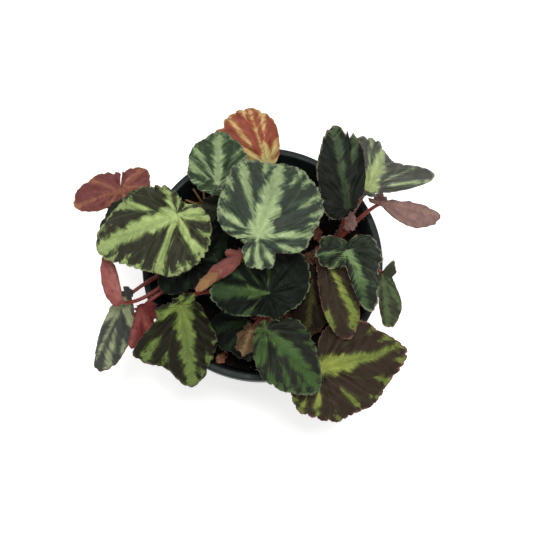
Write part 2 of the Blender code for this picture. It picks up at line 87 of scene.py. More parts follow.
# The pot's profile: the height of the slope over the stacking step; how far the underside's edge is set
# back and its wall rises; how far the wall under the lip, and the skirt's root, foot and outer face, are
# set back; the flats round the lip's edges; and the radius of the corners
STEP_SLOPE = 2.0
BASE_EASE = 2.5
BASE_RISE = 1.5
WALL_EASE = 0.3
SKIRT_ROOT = 1.3
SKIRT_FOOT = 1.8
SKIRT_LEAN = 0.6
LIP_EASE = 1.2
LIP_FLAT = 0.8
LIP_INSIDE = 0.6
CORNER = 0.7

# How many points go round the pot and round a drain hole, how far the drill reaches either way, the angle
# over which the pot's edges look sharp, and how near the axis a point counts as on it
POT_SIDES = 144
HOLE_SIDES = 32
DRILL_REACH = 4
POT_SHARP = 40
ON_AXIS = 0.01

# How many points go round the soil, and in how many rings over its top
SOIL_SIDES = 200
SOIL_RINGS = 62

# Leaf blades, as in the solids
SLIT = 5.0
LOBE_ROUND = 0.3
LOBE_REACH = 24.0
TIP_SHARE = 0.07
TIP_REACH = 13.0
WAVES = 9
BEND_STEPS = 24
NO_BEND = 1e-9

# The dimple over a stalk and how far under its attachment point the stalk's middle line ends
DIMPLE = 0.7
DIMPLE_WIDTH = 2.6
NECK_DEPTH = 1.4

# Stalks and rhizomes, as in the solids
PETIOLE_FOOT = 1.5
PETIOLE_NECK = 1.1
LEAN = 25.0
FIRST_STALK = 0.12
STALK_SPAN = 0.76
FOOT_LEAN = 0.5
FOOT_PULL = 0.45
NECK_PULL = 0.3
NECK_UNDER = 0.55
NECK_ALONG = 0.45
RHIZOME_RADIUS = 4.2
RHIZOME_SINK = 1.0

# How many points lie along and round a stalk and a rhizome
STALK_POINTS = 30
STALK_SIDES = 12
RHIZOME_POINTS = 34
RHIZOME_SIDES = 20

# The papery scales at a stalk's foot; a grid is how many points lie along and across
SCALE_LENGTH = 6.5
SCALE_THICK = 0.15
SCALE_GRID = (9, 7)

# Hairs: how many on a square metre, how thick, how far they lean, and the first seed of their places; then
# the length of those on margins, and the shortest and longest hair as shares of the length
Hairs = namedtuple("Hairs", "density thickness lean seed")
STALK_HAIRS = Hairs(5.5e5, 0.05, 0.55, 20)
MARGIN_HAIRS = Hairs(4.5e6, 0.04, 0.5, 7)
MARGIN_HAIR_LENGTH = 0.9
SHORTEST_HAIR = 0.45
LONGEST_HAIR = 1.1

Crown = namedtuple("Crown", "name x y heading length")
CROWNS = (
    Crown("west", -26, 2, 160, 26),
    Crown("east", 38, 8, 30, 26),
    Crown("south", 10, -28, -60, 24),
    Crown("north", -2, 34, 100, 22),
)

# A leaf: the crown it grows from and how far along it, its attachment point, the way its midrib runs
# (heading, rise), its turn about the midrib (bank), its reach at each eighth or sixteenth of a turn from
# the tip round to the left, the angle of its sinus, the curl of its left and right edge, its arch along
# the midrib, its fold, its margin's wave, and face: 1 with the green side up, -1 with the red side up.
Leaf = namedtuple(
    "Leaf",
    "name crown share x y z heading rise bank reach sinus"
    " curl_left curl_right arch fold wave face",
)
LEAVES = (
    Leaf("leaf_01", 3, 0.1, -1, -2, 172, 72, 8, 0,
         (44.5, 49, 41, 30, 24.5, 16, 10, 13, 17, 18, 19.5, 14.5, 26.5, 33, 42.5, 49.5),
         115, -20, -20, 26, 0, 2.0, 1),
    Leaf("leaf_02", 0, 0.6, -48, 13, 165, 198, -6, 0,
         (52, 42, 36.5, 35.5, 31.5, 27, 22.5, 19.5, 15, 12, 12.5, 14, 18, 26, 34.5, 44.5),
         -135, -18, -18, 28, 0, 1.8, 1),
    Leaf("leaf_03", 3, 0.5, -25, 35, 156, 90, 4, 0,
         (33, 32, 25, 20, 14, 10, 7, 7, 6.5, 9, 12, 14, 18, 21.5, 25, 30.5),
         -158, -14, -18, 20, 0, 1.0, 1),
    Leaf("leaf_04", 3, 0.9, 4, 53, 137, 108, 15, 0,
         (34.5, 39, 38.5, 29, 20, 13, 8, 5, 4, 4, 4, 4, 5, 8.5, 16, 30),
         200, -16, -16, -8, 0, 1.2, -1),
    Leaf("leaf_05", 0, 0.8, -86, 38, 138, 199, 0, 0,
         (28.5, 19.5, 11, 10, 10, 12, 15, 17, 18.5, 21, 17, 17, 14.5, 16, 19.5, 26.5),
         -109, 10, 10, 8, 0, 1.0, -1),
    Leaf("leaf_06", 0, 0.7, -74, 17, 148, 190, -15, 0,
         (24.5, 22, 18, 15, 14, 14, 15, 20),
         150, -10, -10, 15, 0, 1.0, 1),
    Leaf("leaf_07", 0, 0.9, -86, -29, 127, 106, 8, 15,
         (28, 18.5, 11, 7.5, 5.5, 5, 4.5, 3.5, 3.5, 3, 3, 3, 3, 3, 3.5, 5),
         175, 24, 24, -8, 6, 0.8, -1),
    Leaf("leaf_08", 0, 1.0, -84, -25, 118, -120, -20, 0,
         (52, 36, 16, 7, 5, 4, 6, 8.5, 7, 7, 6, 5, 4.5, 5, 8.5, 17),
         150, -35, -35, 25, -10, 1.2, 1),
    Leaf("leaf_09", 0, 0.3, -74, -33, 122, -106, -10, 0,
         (22.5, 21.5, 16.5, 11.5, 10.5, 10.5, 8, 4, 4, 4, 3.5, 3, 4, 4.5, 5.5, 7.5),
         200, 10, 10, 0, 35, 1.0, -1),
    Leaf("leaf_10", 2, 0.1, -47, -35, 141, -80, -14, -14,
         (46.5, 41, 26.5, 15.5, 10, 10, 8.5, 7, 7.5, 7, 6.5, 6, 15, 17, 38.5, 40),
         190, -30, -15, 22, -12, 1.4, 1),
    Leaf("leaf_11", 0, 0.85, -42, -8, 141, 224, -12, 0,
         (24, 17, 16, 16, 12, 13, 17, 19),
         200, -10, -10, 14, 0, 1.0, 1),
    Leaf("leaf_12", 0, 0.0, -10, -6, 152, -141, 0, 0,
         (33, 11.5, 4.5, 3, 3, 3, 3, 3, 3, 3, 3, 3, 3.5, 5.5, 10, 10.5),
         175, 20, 20, 6, 10, 1.5, -1),
    Leaf("leaf_13", 0, 0.15, -20, 15, 136, -108, -6, 0,
         (36, 17, 11, 10, 12, 9, 9, 12),
         160, -10, -10, 16, 0, 1.0, 1),
    Leaf("leaf_14", 3, 0.3, -28, 28, 132, 170, -5, 0,
         (9, 9, 9, 8, 6, 7, 8, 9),
         165, -8, -8, 10, 0, 0.5, 1),
    Leaf("leaf_15", 2, 0.4, 5, -30, 150, 178, -2, 0,
         (33, 27.5, 19, 14.5, 14, 17.5, 16.5, 18.5, 22, 26.5, 31.5, 29, 25, 22, 26, 31),
         114, -18, -16, 22, 0, 1.4, 1),
    Leaf("leaf_17", 2, 0.5, -8, -41, 121, -166, -6, 0,
         (25, 22, 23, 11, 4, 4, 10, 18),
         -160, -12, -12, 14, 0, 1.0, 1),
    Leaf("leaf_19", 2, 0.8, 3, -50, 144, -46, -8, -10,
         (46, 34.5, 28, 18.5, 7.5, 5, 5, 5.5, 6.5, 5.5, 5.5, 7.5, 9.5, 17, 29.5, 39),
         180, -16, -14, 14, -6, 1.2, 1),
    Leaf("leaf_20", 2, 1.0, 35, -70, 121, 15, -4, 0,
         (53.5, 45, 36, 24, 6, 5, 12, 17, 19, 22, 27.5, 28.5, 32.5, 34, 39, 45.5),
         105, -16, -18, 20, 0, 2.0, 1),
    Leaf("leaf_21", 1, 0.1, 39, -8, 140, -75, -12, 0,
         (46.5, 35, 18, 12, 8, 6, 6, 6, 6, 6, 6, 6, 6, 7, 9, 24),
         170, -14, 16, 18, 0, 1.4, 1),
    Leaf("leaf_22", 1, 0.0, 31, -17, 127, -95, -16, 0,
         (31, 20, 12, 11, 11, 11, 12, 20),
         165, -14, -12, 10, 0, 1.2, 1),
    Leaf("leaf_23", 1, 0.4, 51, -5, 152, -70, -14, 0,
         (37, 28.5, 23, 23, 19, 15.5, 10.5, 7.5, 7.5, 12, 17, 17, 19.5, 15.5, 11, 10.5),
         150, -22, -22, 20, -12, 1.2, 1),
    Leaf("leaf_24", 1, 0.6, 74, -14, 127, -83, -14, 0,
         (30.5, 23, 10.5, 6, 7.5, 9, 11, 4.5, 4, 3, 3, 3.5, 4.5, 5, 6, 18),
         180, -10, 60, 12, 0, 1.0, 1),
    Leaf("leaf_25", 1, 0.7, 52, 20, 154, 101, 15, 0,
         (46, 32, 22, 18, 14, 10.5, 7.5, 5, 4, 3, 4, 4, 6, 7.5, 18, 39),
         200, 16, 16, 5, 10, 1.6, 1),
    Leaf("leaf_26", 1, 0.9, 64, 35, 143, 55, 12, 0,
         (23, 30.5, 33, 18, 8, 5.5, 5.5, 6, 5, 4.5, 4.5, 5, 7, 8, 42, 28),
         215, 12, -10, 10, 0, 1.4, 1),
    Leaf("leaf_27", 1, 1.0, 74, 32, 129, -14, 4, -10,
         (34, 7, 5, 5, 7, 8, 7, 5.5, 8, 5, 3, 3, 3, 3, 8, 29),
         247, 12, 12, 0, 10, 1.0, -1),
    Leaf("dried_leaf", 2, 0.7, -6, -48, 131, -112, -20, 0,
         (17, 9, 6, 5, 4, 5, 7, 11),
         180, 50, 50, 30, 20, 1.6, 1),
    Leaf("bract", 1, 0.35, 54.5, 15.5, 130, 95, 25, 0,
         (10, 6, 4, 3, 2, 3, 4, 6),
         180, 25, 25, 20, 0, 0.4, -1),
)

# Dry stalks of lost leaves, as in the solids
DRY_FOOT = (-38, 40)
DRY_ENDS = ((-45, 50, 104), (-50, 43, 102), (-39, 54, 100))
DRY_RADIUS = 0.9
DRY_FOOT_RADIUS = 2.2
DRY_DEPTH = 7.0

# Torn bits of dry leaf on the soil: how thick, their grid, and the place, heading and length of each
FLAKE_THICK = 0.25
FLAKE_GRID = (12, 8)
FLAKES = (
    (-25.5, -59, 40, 9), (61, 17, 100, 8), (34.5, 22, 80, 10), (38.5, 17.5, 20, 7),
    (24, -34, 150, 10), (33.5, -41, 60, 9), (-42, 41, 30, 8), (8, 58, 10, 7),
)

# The colours of one side of a blade: between the stripes, at a stripe's edge, in the stripe, in the stripe
# near the stalk, along the margin, then how far a stripe's edge feathers, how mottled the margin is, how
# strongly the veins are drawn in the stripe's colour, and how much the skin shines.
Face = namedtuple("Face", "name dark edge stripe heart margin feather spots veins gloss")
FACES = (
    Face("silver_green_blade", "#343c33", "#5a6c4e", "#92a475", "#a7ba86", "#7d8769", 0.7, 0.6, 0.2, 0.2),
    Face("olive_brown_blade", "#2f2f22", "#57633b", "#98ab6a", "#a9bb76", "#7b8456", 0.6, 0.8, 0.1, 0.2),
    Face("soft_green_blade", "#303f2a", "#586b4b", "#90a473", "#94a779", "#66765c", 0.8, 0.4, 0.2, 0.2),
    Face("lime_brown_blade", "#352a20", "#4a4d28", "#74833d", "#98a04c", "#755245", 0.6, 0.8, 0.08, 0.15),
    Face("moss_brown_blade", "#211f15", "#3a4622", "#687a40", "#72823f", "#55513a", 0.7, 0.7, 0.1, 0.12),
    Face("umber_blade", "#211911", "#302f18", "#424520", "#434320", "#3d3320", 0.7, 0.5, 0.1, 0.1),
    Face("bright_green_blade", "#22261e", "#323f27", "#3f582d", "#4c6433", "#566648", 0.8, 0.9, 0.1, 0.15),
    Face("bottle_green_blade", "#121811", "#1f2b1b", "#33482a", "#4a602f", "#5f6f50", 0.9, 0.4, 0.12, 0.12),
    # The next two palettes carry painted shade: they are darkened for leaves that lie in shade under others
    Face("shade_green_blade", "#1f231a", "#2b3223", "#3c432e", "#3f4630", "#40442f", 0.7, 0.4, 0.1, 0.12),
    Face("deep_green_blade", "#0b0f0b", "#121b10", "#1c2a19", "#1f2d1b", "#222b1d", 0.8, 0.3, 0.1, 0.08),
    Face("grey_green_blade", "#252a22", "#36432f", "#486039", "#7a9160", "#8f8a70", 1.0, 0.4, 0.2, 0.15),
    Face("sage_blade", "#343829", "#424e34", "#54633f", "#5a6845", "#8d7562", 0.9, 0.4, 0.25, 0.15),
    Face("smoky_green_blade", "#181c16", "#28321f", "#44543a", "#303a28", "#6d6a55", 0.8, 0.4, 0.15, 0.15),
    Face("silver_grey_blade", "#4c4e46", "#6b735f", "#a2b07e", "#a8b87b", "#8a857a", 0.8, 0.4, 0.3, 0.2),
    Face("pewter_blade", "#3b3e37", "#5f6551", "#8f9974", "#848b69", "#6f4a3e", 0.8, 0.5, 0.2, 0.2),
    Face("orange_red_underside", "#8e4837", "#a46440", "#cdb178", "#bbb070", "#b08a5c", 0.8, 0.5, 0.15, 0.2),
    Face("dusty_rose_underside", "#6f3d3b", "#7b483e", "#94614a", "#8c5845", "#9a6c50", 1.0, 0.4, 0.25, 0.2),
    Face("rose_underside", "#91514d", "#9b5c55", "#ad7268", "#a0625a", "#8a4640", 0.9, 0.3, 0.25, 0.2),
    Face("crimson_underside", "#632928", "#6e3330", "#8f5048", "#7c3e37", "#5a2422", 0.9, 0.3, 0.25, 0.15),
    Face("tan_pink_underside", "#7a463f", "#80503f", "#8f6c46", "#835a40", "#6e4a34", 0.9, 0.6, 0.25, 0.15),
    Face("mauve_underside", "#866862", "#8c6e65", "#9a7d72", "#8f7164", "#744f43", 1.0, 0.4, 0.3, 0.2),
    Face("wine_underside", "#6d2d2a", "#783f34", "#8c6a4a", "#875f48", "#7a4036", 0.5, 0.2, 0.25, 0.2),
    Face("dry_blade", "#54422b", "#6f5b3b", "#93795a", "#7f6848", "#4a3824", 0.9, 0.9, 0.5, 0.1),
)

# A stripe: its angle from the midrib, how far from the stalk it starts and ends, its half width at either
# end and, where it swings, by how many degrees. A stripe that ends at RIM runs to the margin, and one
# with a negative width is a dark wedge in a pale ground. ground is 1 for pale and -1 for dark.
RIM = 99
Look = namedtuple("Look", "shown hidden ground stripes")
PLAIN_ANGLES = (38, -36, 80, -78, 140, -140)
PLAIN_START = 0.4
LOOKS = {
    "leaf_01": Look("silver_green_blade", "wine_underside", -1, (
        (0, 0, 10, 4.4, 7.4), (0, 10, 30, 7.4, 5.8), (1, 30, 45, 5.8, 3.0), (12, 38, 46, 0.8, 1.6),
        (29.5, 14, 45, 0.8, 2.6), (44, 33, RIM, 1.2, 2.4), (55, 28, RIM, 1.0, 1.8), (71, 9, RIM, 0.8, 2.2),
        (90, 15, RIM, 0.8, 1.2), (108, 0, 14, 0.9, 1.0), (-14, 36, RIM, 0.8, 1.4), (-22, 40, RIM, 0.8, 1.6),
        (-37, 29, RIM, 0.7, 2.0), (-50, 33, RIM, 0.6, 0.9), (-58, 31, RIM, 0.6, 0.9),
        (-69, 2, RIM, 1.0, 2.2), (-92, 13, RIM, 1.0, 1.8), (-129, 6, RIM, 0.7, 1.6),
        (-161, 0, RIM, 0.8, 1.5), (168, 8, RIM, 0.7, 1.4))),
    "leaf_02": Look("olive_brown_blade", "wine_underside", -1, (
        (-3, 0, 12, 4.2, 6.2), (-3, 12, 32, 6.2, 4.8, 2), (-1, 32, RIM, 4.8, 3.4), (-34, 16, RIM, 0.8, 3.4),
        (-14, 43, RIM, 0.9, 1.8), (-25, 43, RIM, 0.8, 1.4), (-52, 30, RIM, 0.8, 1.6),
        (-68, 26, RIM, 0.8, 1.4), (-85, 2, RIM, 1.0, 1.8), (-115, 5, RIM, 1.0, 1.6),
        (-150, 7, RIM, 0.8, 1.6), (176, 0, RIM, 1.2, 2.0), (154, 3, RIM, 1.2, 2.6),
        (129, 17, RIM, 0.9, 1.8), (98, 0, RIM, 1.4, 3.2, 5), (54, 0, 20, 1.6, 1.6, -2),
        (50.5, 18, RIM, 1.6, 3.2), (63, 33, RIM, 0.8, 1.4), (73, 28, RIM, 0.8, 1.8),
        (84, 28, RIM, 0.6, 1.4), (33, 33, RIM, 0.8, 2.0), (18, 37, RIM, 0.8, 2.2), (9, 46, RIM, 0.8, 1.4))),
    "leaf_03": Look("soft_green_blade", "wine_underside", -0.25, (
        (19, 7, 31, -2.0, -3.6), (-20, 6, 31, -2.2, -4.4), (-38, 7, 28, -1.0, -2.2),
        (68, 4, 19, -1.6, -3.2), (-60, 5, 22, -1.2, -2.6), (100, 3, RIM, -1.5, -2.5),
        (160, 3, RIM, -2.0, -3.5), (0, 0, 30, 2.2, 3.2), (31, 4, 26, 0.8, 1.4), (50, 5, RIM, 0.8, 1.8),
        (-48, 6, RIM, 0.6, 1.2))),
    "leaf_04": Look("orange_red_underside", "silver_green_blade", -1, (
        (0, 8, RIM, 0.8, 0.6), (7, 34, RIM, 1.0, 1.8), (21, 16, RIM, 0.8, 1.2), (-12, 20, RIM, 0.9, 1.8),
        (-20, 33, RIM, 1.0, 2.0), (-43, 4, 19, 1.4, 1.8), (40, 0, 22, 2.5, 1.5), (-10, 0, 13, 5.0, 2.0),
        (60, 0, 22, 2.5, 2.0), (90, 0, RIM, 2.0, 2.0), (-80, 0, RIM, 2.0, 2.0))),
    "leaf_05": Look("dusty_rose_underside", "soft_green_blade", -1, (
        (0, 0, RIM, 1.0, 0.8), (34, 0, RIM, 0.8, 0.8), (-40, 0, RIM, 0.8, 1.2), (100, 0, RIM, 0.8, 0.8),
        (170, 0, RIM, 1.4, 1.4), (-150, 0, RIM, 1.0, 1.0))),
    "leaf_06": Look("shade_green_blade", "wine_underside", -1, ((0, 4, RIM, 0.8, 0.8),)),
    "leaf_07": Look("rose_underside", "grey_green_blade", -1, ((0, 0, RIM, 1.6, 0.8),)),
    "leaf_08": Look("pewter_blade", "crimson_underside", -1, (
        (-18, 1, 22, 1.8, 2.8), (8, 22, RIM, 1.0, 2.8), (36, 2, 17, 1.8, 2.8), (-2, 2, 47, 1.0, 0.8),
        (20, 28, RIM, 0.6, 1.4), (-13, 33, RIM, 0.7, 1.4), (-60, 2, RIM, 0.8, 1.4))),
    "leaf_09": Look("crimson_underside", "grey_green_blade", -1, (
        (0, 0, RIM, 1.4, 0.8), (40, 1, RIM, 0.8, 2.8))),
    "leaf_10": Look("moss_brown_blade", "wine_underside", -1, (
        (0, 0, 14, 3.8, 5.8), (0, 14, 24, 5.8, 4.4), (-1, 24, 34, 4.4, 5.0), (0, 34, 42, 4.8, 3.4),
        (0, 40, RIM, 3.2, 3.8), (-43, 23, 38, 1.2, 3.0), (-25, 30, 38, 0.7, 1.6), (62, 14, RIM, 0.8, 1.6),
        (-74, 1, 15, 2.0, 2.4), (45, 23, RIM, 0.8, 1.4), (33, 31, RIM, 0.7, 1.2), (20, 33, RIM, 0.8, 2.0),
        (9, 41, RIM, 0.7, 1.2), (-70, 12, RIM, 0.8, 1.6), (110, 1, RIM, 1.2, 2.0),
        (170, 1, RIM, 1.2, 2.0))),
    "leaf_11": Look("deep_green_blade", "wine_underside", -1, ()),
    "leaf_12": Look("tan_pink_underside", "grey_green_blade", -1, ((0, 16, RIM, 1.2, 5.0),)),
    "leaf_13": Look("deep_green_blade", "wine_underside", -1, ()),
    "leaf_14": Look("shade_green_blade", "wine_underside", -1, ((0, 0, RIM, 1.6, 1.2),)),
    "leaf_15": Look("bottle_green_blade", "wine_underside", -1, (
        (-3, 2, 18, 2.6, 4.0), (-4, 18, RIM, 4.0, 5.0), (-30, 18, RIM, 0.8, 2.0), (-89, 4, RIM, 0.7, 1.0),
        (44, 12, RIM, 0.8, 1.8), (-50, 8, 20, 0.8, 1.2))),
    "leaf_17": Look("deep_green_blade", "wine_underside", -1, ()),
    "leaf_19": Look("bright_green_blade", "wine_underside", -1, (
        (4, 3, 18, 3.4, 5.2), (3, 18, 34, 5.2, 3.8, -1), (1, 34, RIM, 3.8, 3.0), (-52, 2, 20, 1.6, 3.2),
        (-60, 19, RIM, 0.8, 1.6), (-38, 22, RIM, 0.8, 2.2), (-20, 22, RIM, 0.8, 1.8),
        (-9, 35, 42, 1.2, 2.0), (-28, 32, RIM, 0.7, 1.4), (-88, 2, RIM, 0.7, 1.6), (-124, 0, RIM, 1.0, 2.0),
        (150, 0, RIM, 1.0, 1.8), (28, 26, RIM, 0.7, 1.4), (44, 20, RIM, 0.6, 1.2))),
    "leaf_20": Look("lime_brown_blade", "wine_underside", -1, (
        (0, 0, 12, 4.0, 7.0), (-1, 12, 30, 7.0, 3.0), (-2, 30, 47, 3.0, 1.8, 4), (2.5, 46, RIM, 1.8, 2.0),
        (-22, 35, 46, 1.0, 2.2), (-7, 48, RIM, 1.0, 1.6), (-41, 35, 43, 1.0, 1.8), (-57, 17, 31, 0.7, 1.6),
        (-84, 28, RIM, 0.8, 2.0), (-108, 13, 26, 1.2, 2.0), (-130, 21, RIM, 1.0, 2.0),
        (-145, 21, RIM, 0.8, 1.2), (-160, 8, RIM, 1.0, 1.6), (11, 43, RIM, 0.8, 1.6),
        (22, 38, RIM, 0.8, 1.4), (37, 33, RIM, 0.8, 1.6))),
    "leaf_21": Look("lime_brown_blade", "wine_underside", -1, (
        (18, 2, 16, 0.9, 1.8), (15, 15, 32, 1.8, 2.8, -1), (14, 30, RIM, 3.0, 3.0, -3),
        (-12, 29, 41, 1.2, 3.4), (-8, 42, RIM, 0.8, 1.4))),
    "leaf_22": Look("umber_blade", "wine_underside", -1, ((0, 3, RIM, 1.6, 1.2), (40, 14, RIM, 0.6, 1.6))),
    "leaf_23": Look("grey_green_blade", "wine_underside", -0.5, (
        (6, 0, 12, 3.2, 3.4), (8, 10, 24, 3.4, 2.4, -4), (3, 22, RIM, 2.4, 1.8, -4),
        (-20, 6, 22, -2.0, -4.0), (60, 8, 22, -1.4, -2.6), (38, 8, 24, -1.2, -2.4), (-60, 5, 13, 0.6, 1.2),
        (-100, 6, RIM, 0.6, 1.2))),
    "leaf_24": Look("sage_blade", "wine_underside", -0.4, (
        (0, 2, RIM, 1.4, 1.6), (24, 5, RIM, 0.6, 1.6), (-30, 4, RIM, 0.6, 1.2), (50, 4, RIM, 0.8, 1.6))),
    "leaf_25": Look("smoky_green_blade", "wine_underside", -1, (
        (-2.3, 0, RIM, 2.0, 2.8), (-17.5, 26, RIM, 0.8, 3.2), (14, 36, RIM, 0.6, 1.6))),
    "leaf_26": Look("silver_grey_blade", "wine_underside", -0.65, (
        (3.5, 0, 17, 7.5, 4.6, 6), (9.5, 15, 26, 4.6, 2.0, 3), (-30, 12, RIM, 0.3, 0.4),
        (-46, 14, RIM, 0.3, 0.4), (28, 18, RIM, 0.6, 1.2))),
    "leaf_27": Look("mauve_underside", "grey_green_blade", -1, (
        (0, 0, RIM, 1.2, 0.8), (-30, 4, RIM, 0.6, 1.2))),
    "dried_leaf": Look("dry_blade", "dry_blade", -1, ((0, 0, RIM, 1.2, 0.6), (60, 3, RIM, 0.5, 1.0))),
    "bract": Look("mauve_underside", "mauve_underside", -1, ((0, 0, RIM, 0.8, 0.4),)),
}

# Small notches that only the fine blade has: the angle, half width in degrees and depth of each, where a
# negative depth is a bump.
NOTCHES = {
    "leaf_04": ((32, 4, 3.0),),
    "leaf_10": ((-55, 9, -10.0),),
    "leaf_12": ((10, 4, 5.0), (-10, 4, 5.0)),
    "dried_leaf": ((80, 40, 2.0), (-75, 40, 3.0)),
    "leaf_15": ((114, 20, -4.5),),
    "leaf_23": ((-11, 9, 6.5),),
    "leaf_25": ((-9, 1.3, 4.0), (-12.5, 1.3, 4.0)),
    "leaf_26": ((-54, 7, 4.0),),
}

# How far the skin of a crinkled or dried blade rises and falls, and how wide its wrinkles are
CRINKLES = {
    "leaf_04": 0.8, "leaf_05": 1.2, "leaf_12": 1.4, "leaf_24": 1.2, "leaf_26": 1.0, "leaf_27": 1.6,
    "dried_leaf": 2.0, "bract": 0.8,
}
CRINKLE_SIZE = 4.5

# The leaves whose lobes nearly meet at the sinus, and the slit between them in degrees
CLOSED = ("leaf_15",)
CLOSED_SLIT = 1.5

# The angles of a blade's main veins from its midrib; each forks on its way to the margin
VEINS = (0, 27, 54, 86, 122, 160, -27, -54, -86, -122, -160)
FORK_AT = 0.5
FORK_SPREAD = 17.0
PILLOW = 15.0

# How far a stripe fades past its edge, and how much fine strokes and coarse jags fray that edge
STRIPE_FADE = 3.2
FINE_FRAY = 1.6
COARSE_FRAY = 1.6

# A thin stripe is dimmer: its field starts at the first value and gains 1 over the second, in mm
THIN_STRIPE = 0.12
FULL_STRIPE = 8.0

# How far along a blade its side veins are apart, how steeply they run forward, and how strong they are
RIB_SPACING = 7.0
RIB_SWEEP = 0.9
RIB_SHARE = 0.5

# How many ruffles the margin has, and how wide a blade is that has them and its relief at full height
RUFFLES = 23
FULL_WIDTH = 14.0

# The fewest and the most points round a blade's margin, and rings of points
COLUMN_LIMITS = (90, 300)
ROW_LIMITS = (12, 30)

# The width of the veins that stand out and of those that are drawn, how deep they lie in the upper face,
# and the share of its thickness that a blade loses at the margin
RAISED_VEIN = 0.9
DRAWN_VEIN = 0.55
VEIN_GROOVE = 0.12
EDGE_THINNING = 0.55

# The width and length of the fine strokes in the skin, and how many there are in a radian round the back
STROKE_WIDTH = 0.9
STROKE_LENGTH = 7.0
STROKES_ROUND = 6.0

# How strongly the veins are tinted, how dark the painted shade in the valleys between the pillows makes
# the skin, and the refractive index of plant cells
VEIN_TINT = 0.3
PAINTED_VALLEY_SHADE = 0.84
CELL_IOR = 1.42

DRY_PEAT_DUST = "#6b6c62"

# The camera of the photograph: what it aims at, its height above the horizon, its turn, its distance,
# and the size of a pixel at the pot's lip
SHOT_AIM = (2.83, -3.8, 110.0)
SHOT_ELEVATION = 75.83
SHOT_AZIMUTH = 5.38
SHOT_DISTANCE = 620.0
SHOT_PIXEL = 0.629
SHOT_WIDTH = 533
SENSOR = 36.0

# The floor is a sheet of white paper lit a little from below, so that shadows on it stay faint. Its radius
# and how far the camera sees are in metres, and it lies a gap in millimetres under the pot.
FLOOR_GLOW = 0.42
FLOOR_REACH = 60.0
VIEW_END = 200.0
FLOOR_GAP = 0.2

# The white surroundings' light, the round lamps by name, place, size and watts, and the spot they face
WORLD_LIGHT = 0.55
LIGHTS = (("key", (250, 150, 3000), 900, 50), ("fill", (-900, -1600, 2200), 1400, 8))
LIT = (0, 0, 100)


def linear(code):
    """An sRGB hex colour as linear red, green, blue and alpha."""
    channels = [int(code[i : i + 2], 16) / 255 for i in (1, 3, 5)]
    return tuple(c / 12.92 if c <= 0.04045 else ((c + 0.055) / 1.055) ** 2.4 for c in channels) + (1.0,)


def set_inputs(node, inputs):
    """Sets inputs by name or number, to a value or a link; a node stands for its first output in use."""
    for key, value in inputs.items():
        if isinstance(value, bpy.types.Node):
            value = next(socket for socket in value.outputs if socket.enabled)
        if isinstance(value, bpy.types.NodeSocket):
            node.id_data.links.new(value, node.inputs[key])
        else:
            node.inputs[key].default_value = value


def add_node(tree, kind, inputs=None, stops=(), **settings):
    """Adds a node with its settings, its inputs, and its ramp's stops as places and hex colours."""
    node = tree.nodes.new(kind)
    for key, value in settings.items():
        setattr(node, key, value)
    set_inputs(node, inputs or {})
    for k, (position, colour) in enumerate(stops):
        elements = node.color_ramp.elements
        element = elements[k] if k < 2 else elements.new(position)
        element.position = position
        element.color = linear(colour)
    return node


def new_material(name):
    """A new material, the function that adds nodes to it, and its shader."""
    material = bpy.data.materials.new(name)
    material.use_nodes = True
    tree = material.node_tree
    return material, partial(add_node, tree), tree.nodes["Principled BSDF"]


class Shape:
    """Points in millimetres, faces, material slots and per-point values, gathered for one mesh."""

    def __init__(self):
        self.points = []
        self.faces = []
        self.slots = []
        self.values = {}
        self.count = 0

    def add(self, points, faces, slot=0, **values):
        points = np.asarray(points, float).reshape(-1, 3)
        self.points.append(points)
        self.faces += [[i + self.count for i in face] for face in faces]
        self.slots += [slot] * len(faces)
        for key, value in values.items():
            self.values.setdefault(key, []).append(np.asarray(value, float))
        self.count += len(points)

    def build(self, name, materials, sharp=60):
        """The mesh object."""
        mesh = bpy.data.meshes.new(name)
        mesh.from_pydata((np.concatenate(self.points) * MM).tolist(), [], self.faces)
        for key, parts in self.values.items():
            value = np.concatenate(parts)
            kind, field = ("FLOAT", "value") if value.ndim == 1 else ("FLOAT_VECTOR", "vector")
            mesh.attributes.new(key, kind, "POINT").data.foreach_set(field, value.astype(np.float32).ravel())
        for material in materials:
            mesh.materials.append(material)
        mesh.polygons.foreach_set("material_index", self.slots)
        mesh.shade_smooth()
        mesh.set_sharp_from_angle(angle=math.radians(sharp))
        mesh.update()
        return stand(name, mesh)


def stand(name, data):
    """A new object in the scene that shows the data."""
    piece = bpy.data.objects.new(name, data)
    bpy.context.scene.collection.objects.link(piece)
    return piece


def settle(piece, slot, *nodes):
    """The piece rides on the part's one body and stands for the nodes. The slot is not used."""
    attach(piece, "root")
    if nodes:
        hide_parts(*nodes)


def soft_noise(points, size, seed):
    """Smooth noise, from about -1 to 1, at points in millimetres, with features of that size."""
    return np.array([noise.noise(Vector(p) / size + Vector((seed, seed, seed))) for p in points])


def unit(v):
    return v / np.maximum(np.linalg.norm(v, axis=-1, keepdims=True), 1e-9)


def leaf_axes(leaf):
    """The leaf's own directions: along the midrib, to its left, and out of its upper face."""
    turn = Matrix.Rotation(math.radians(leaf.heading), 3, "Z")
    turn = turn @ Matrix.Rotation(-math.radians(leaf.rise), 3, "Y")
    turn = turn @ Matrix.Rotation(math.radians(leaf.bank), 3, "X")
    return [np.array(column) for column in turn.transposed()]


def turned_from(degrees, angle):
    """How far an angle lies from another, in degrees, from 0 to 180."""
    return np.abs((degrees - angle + 180) % 360 - 180)


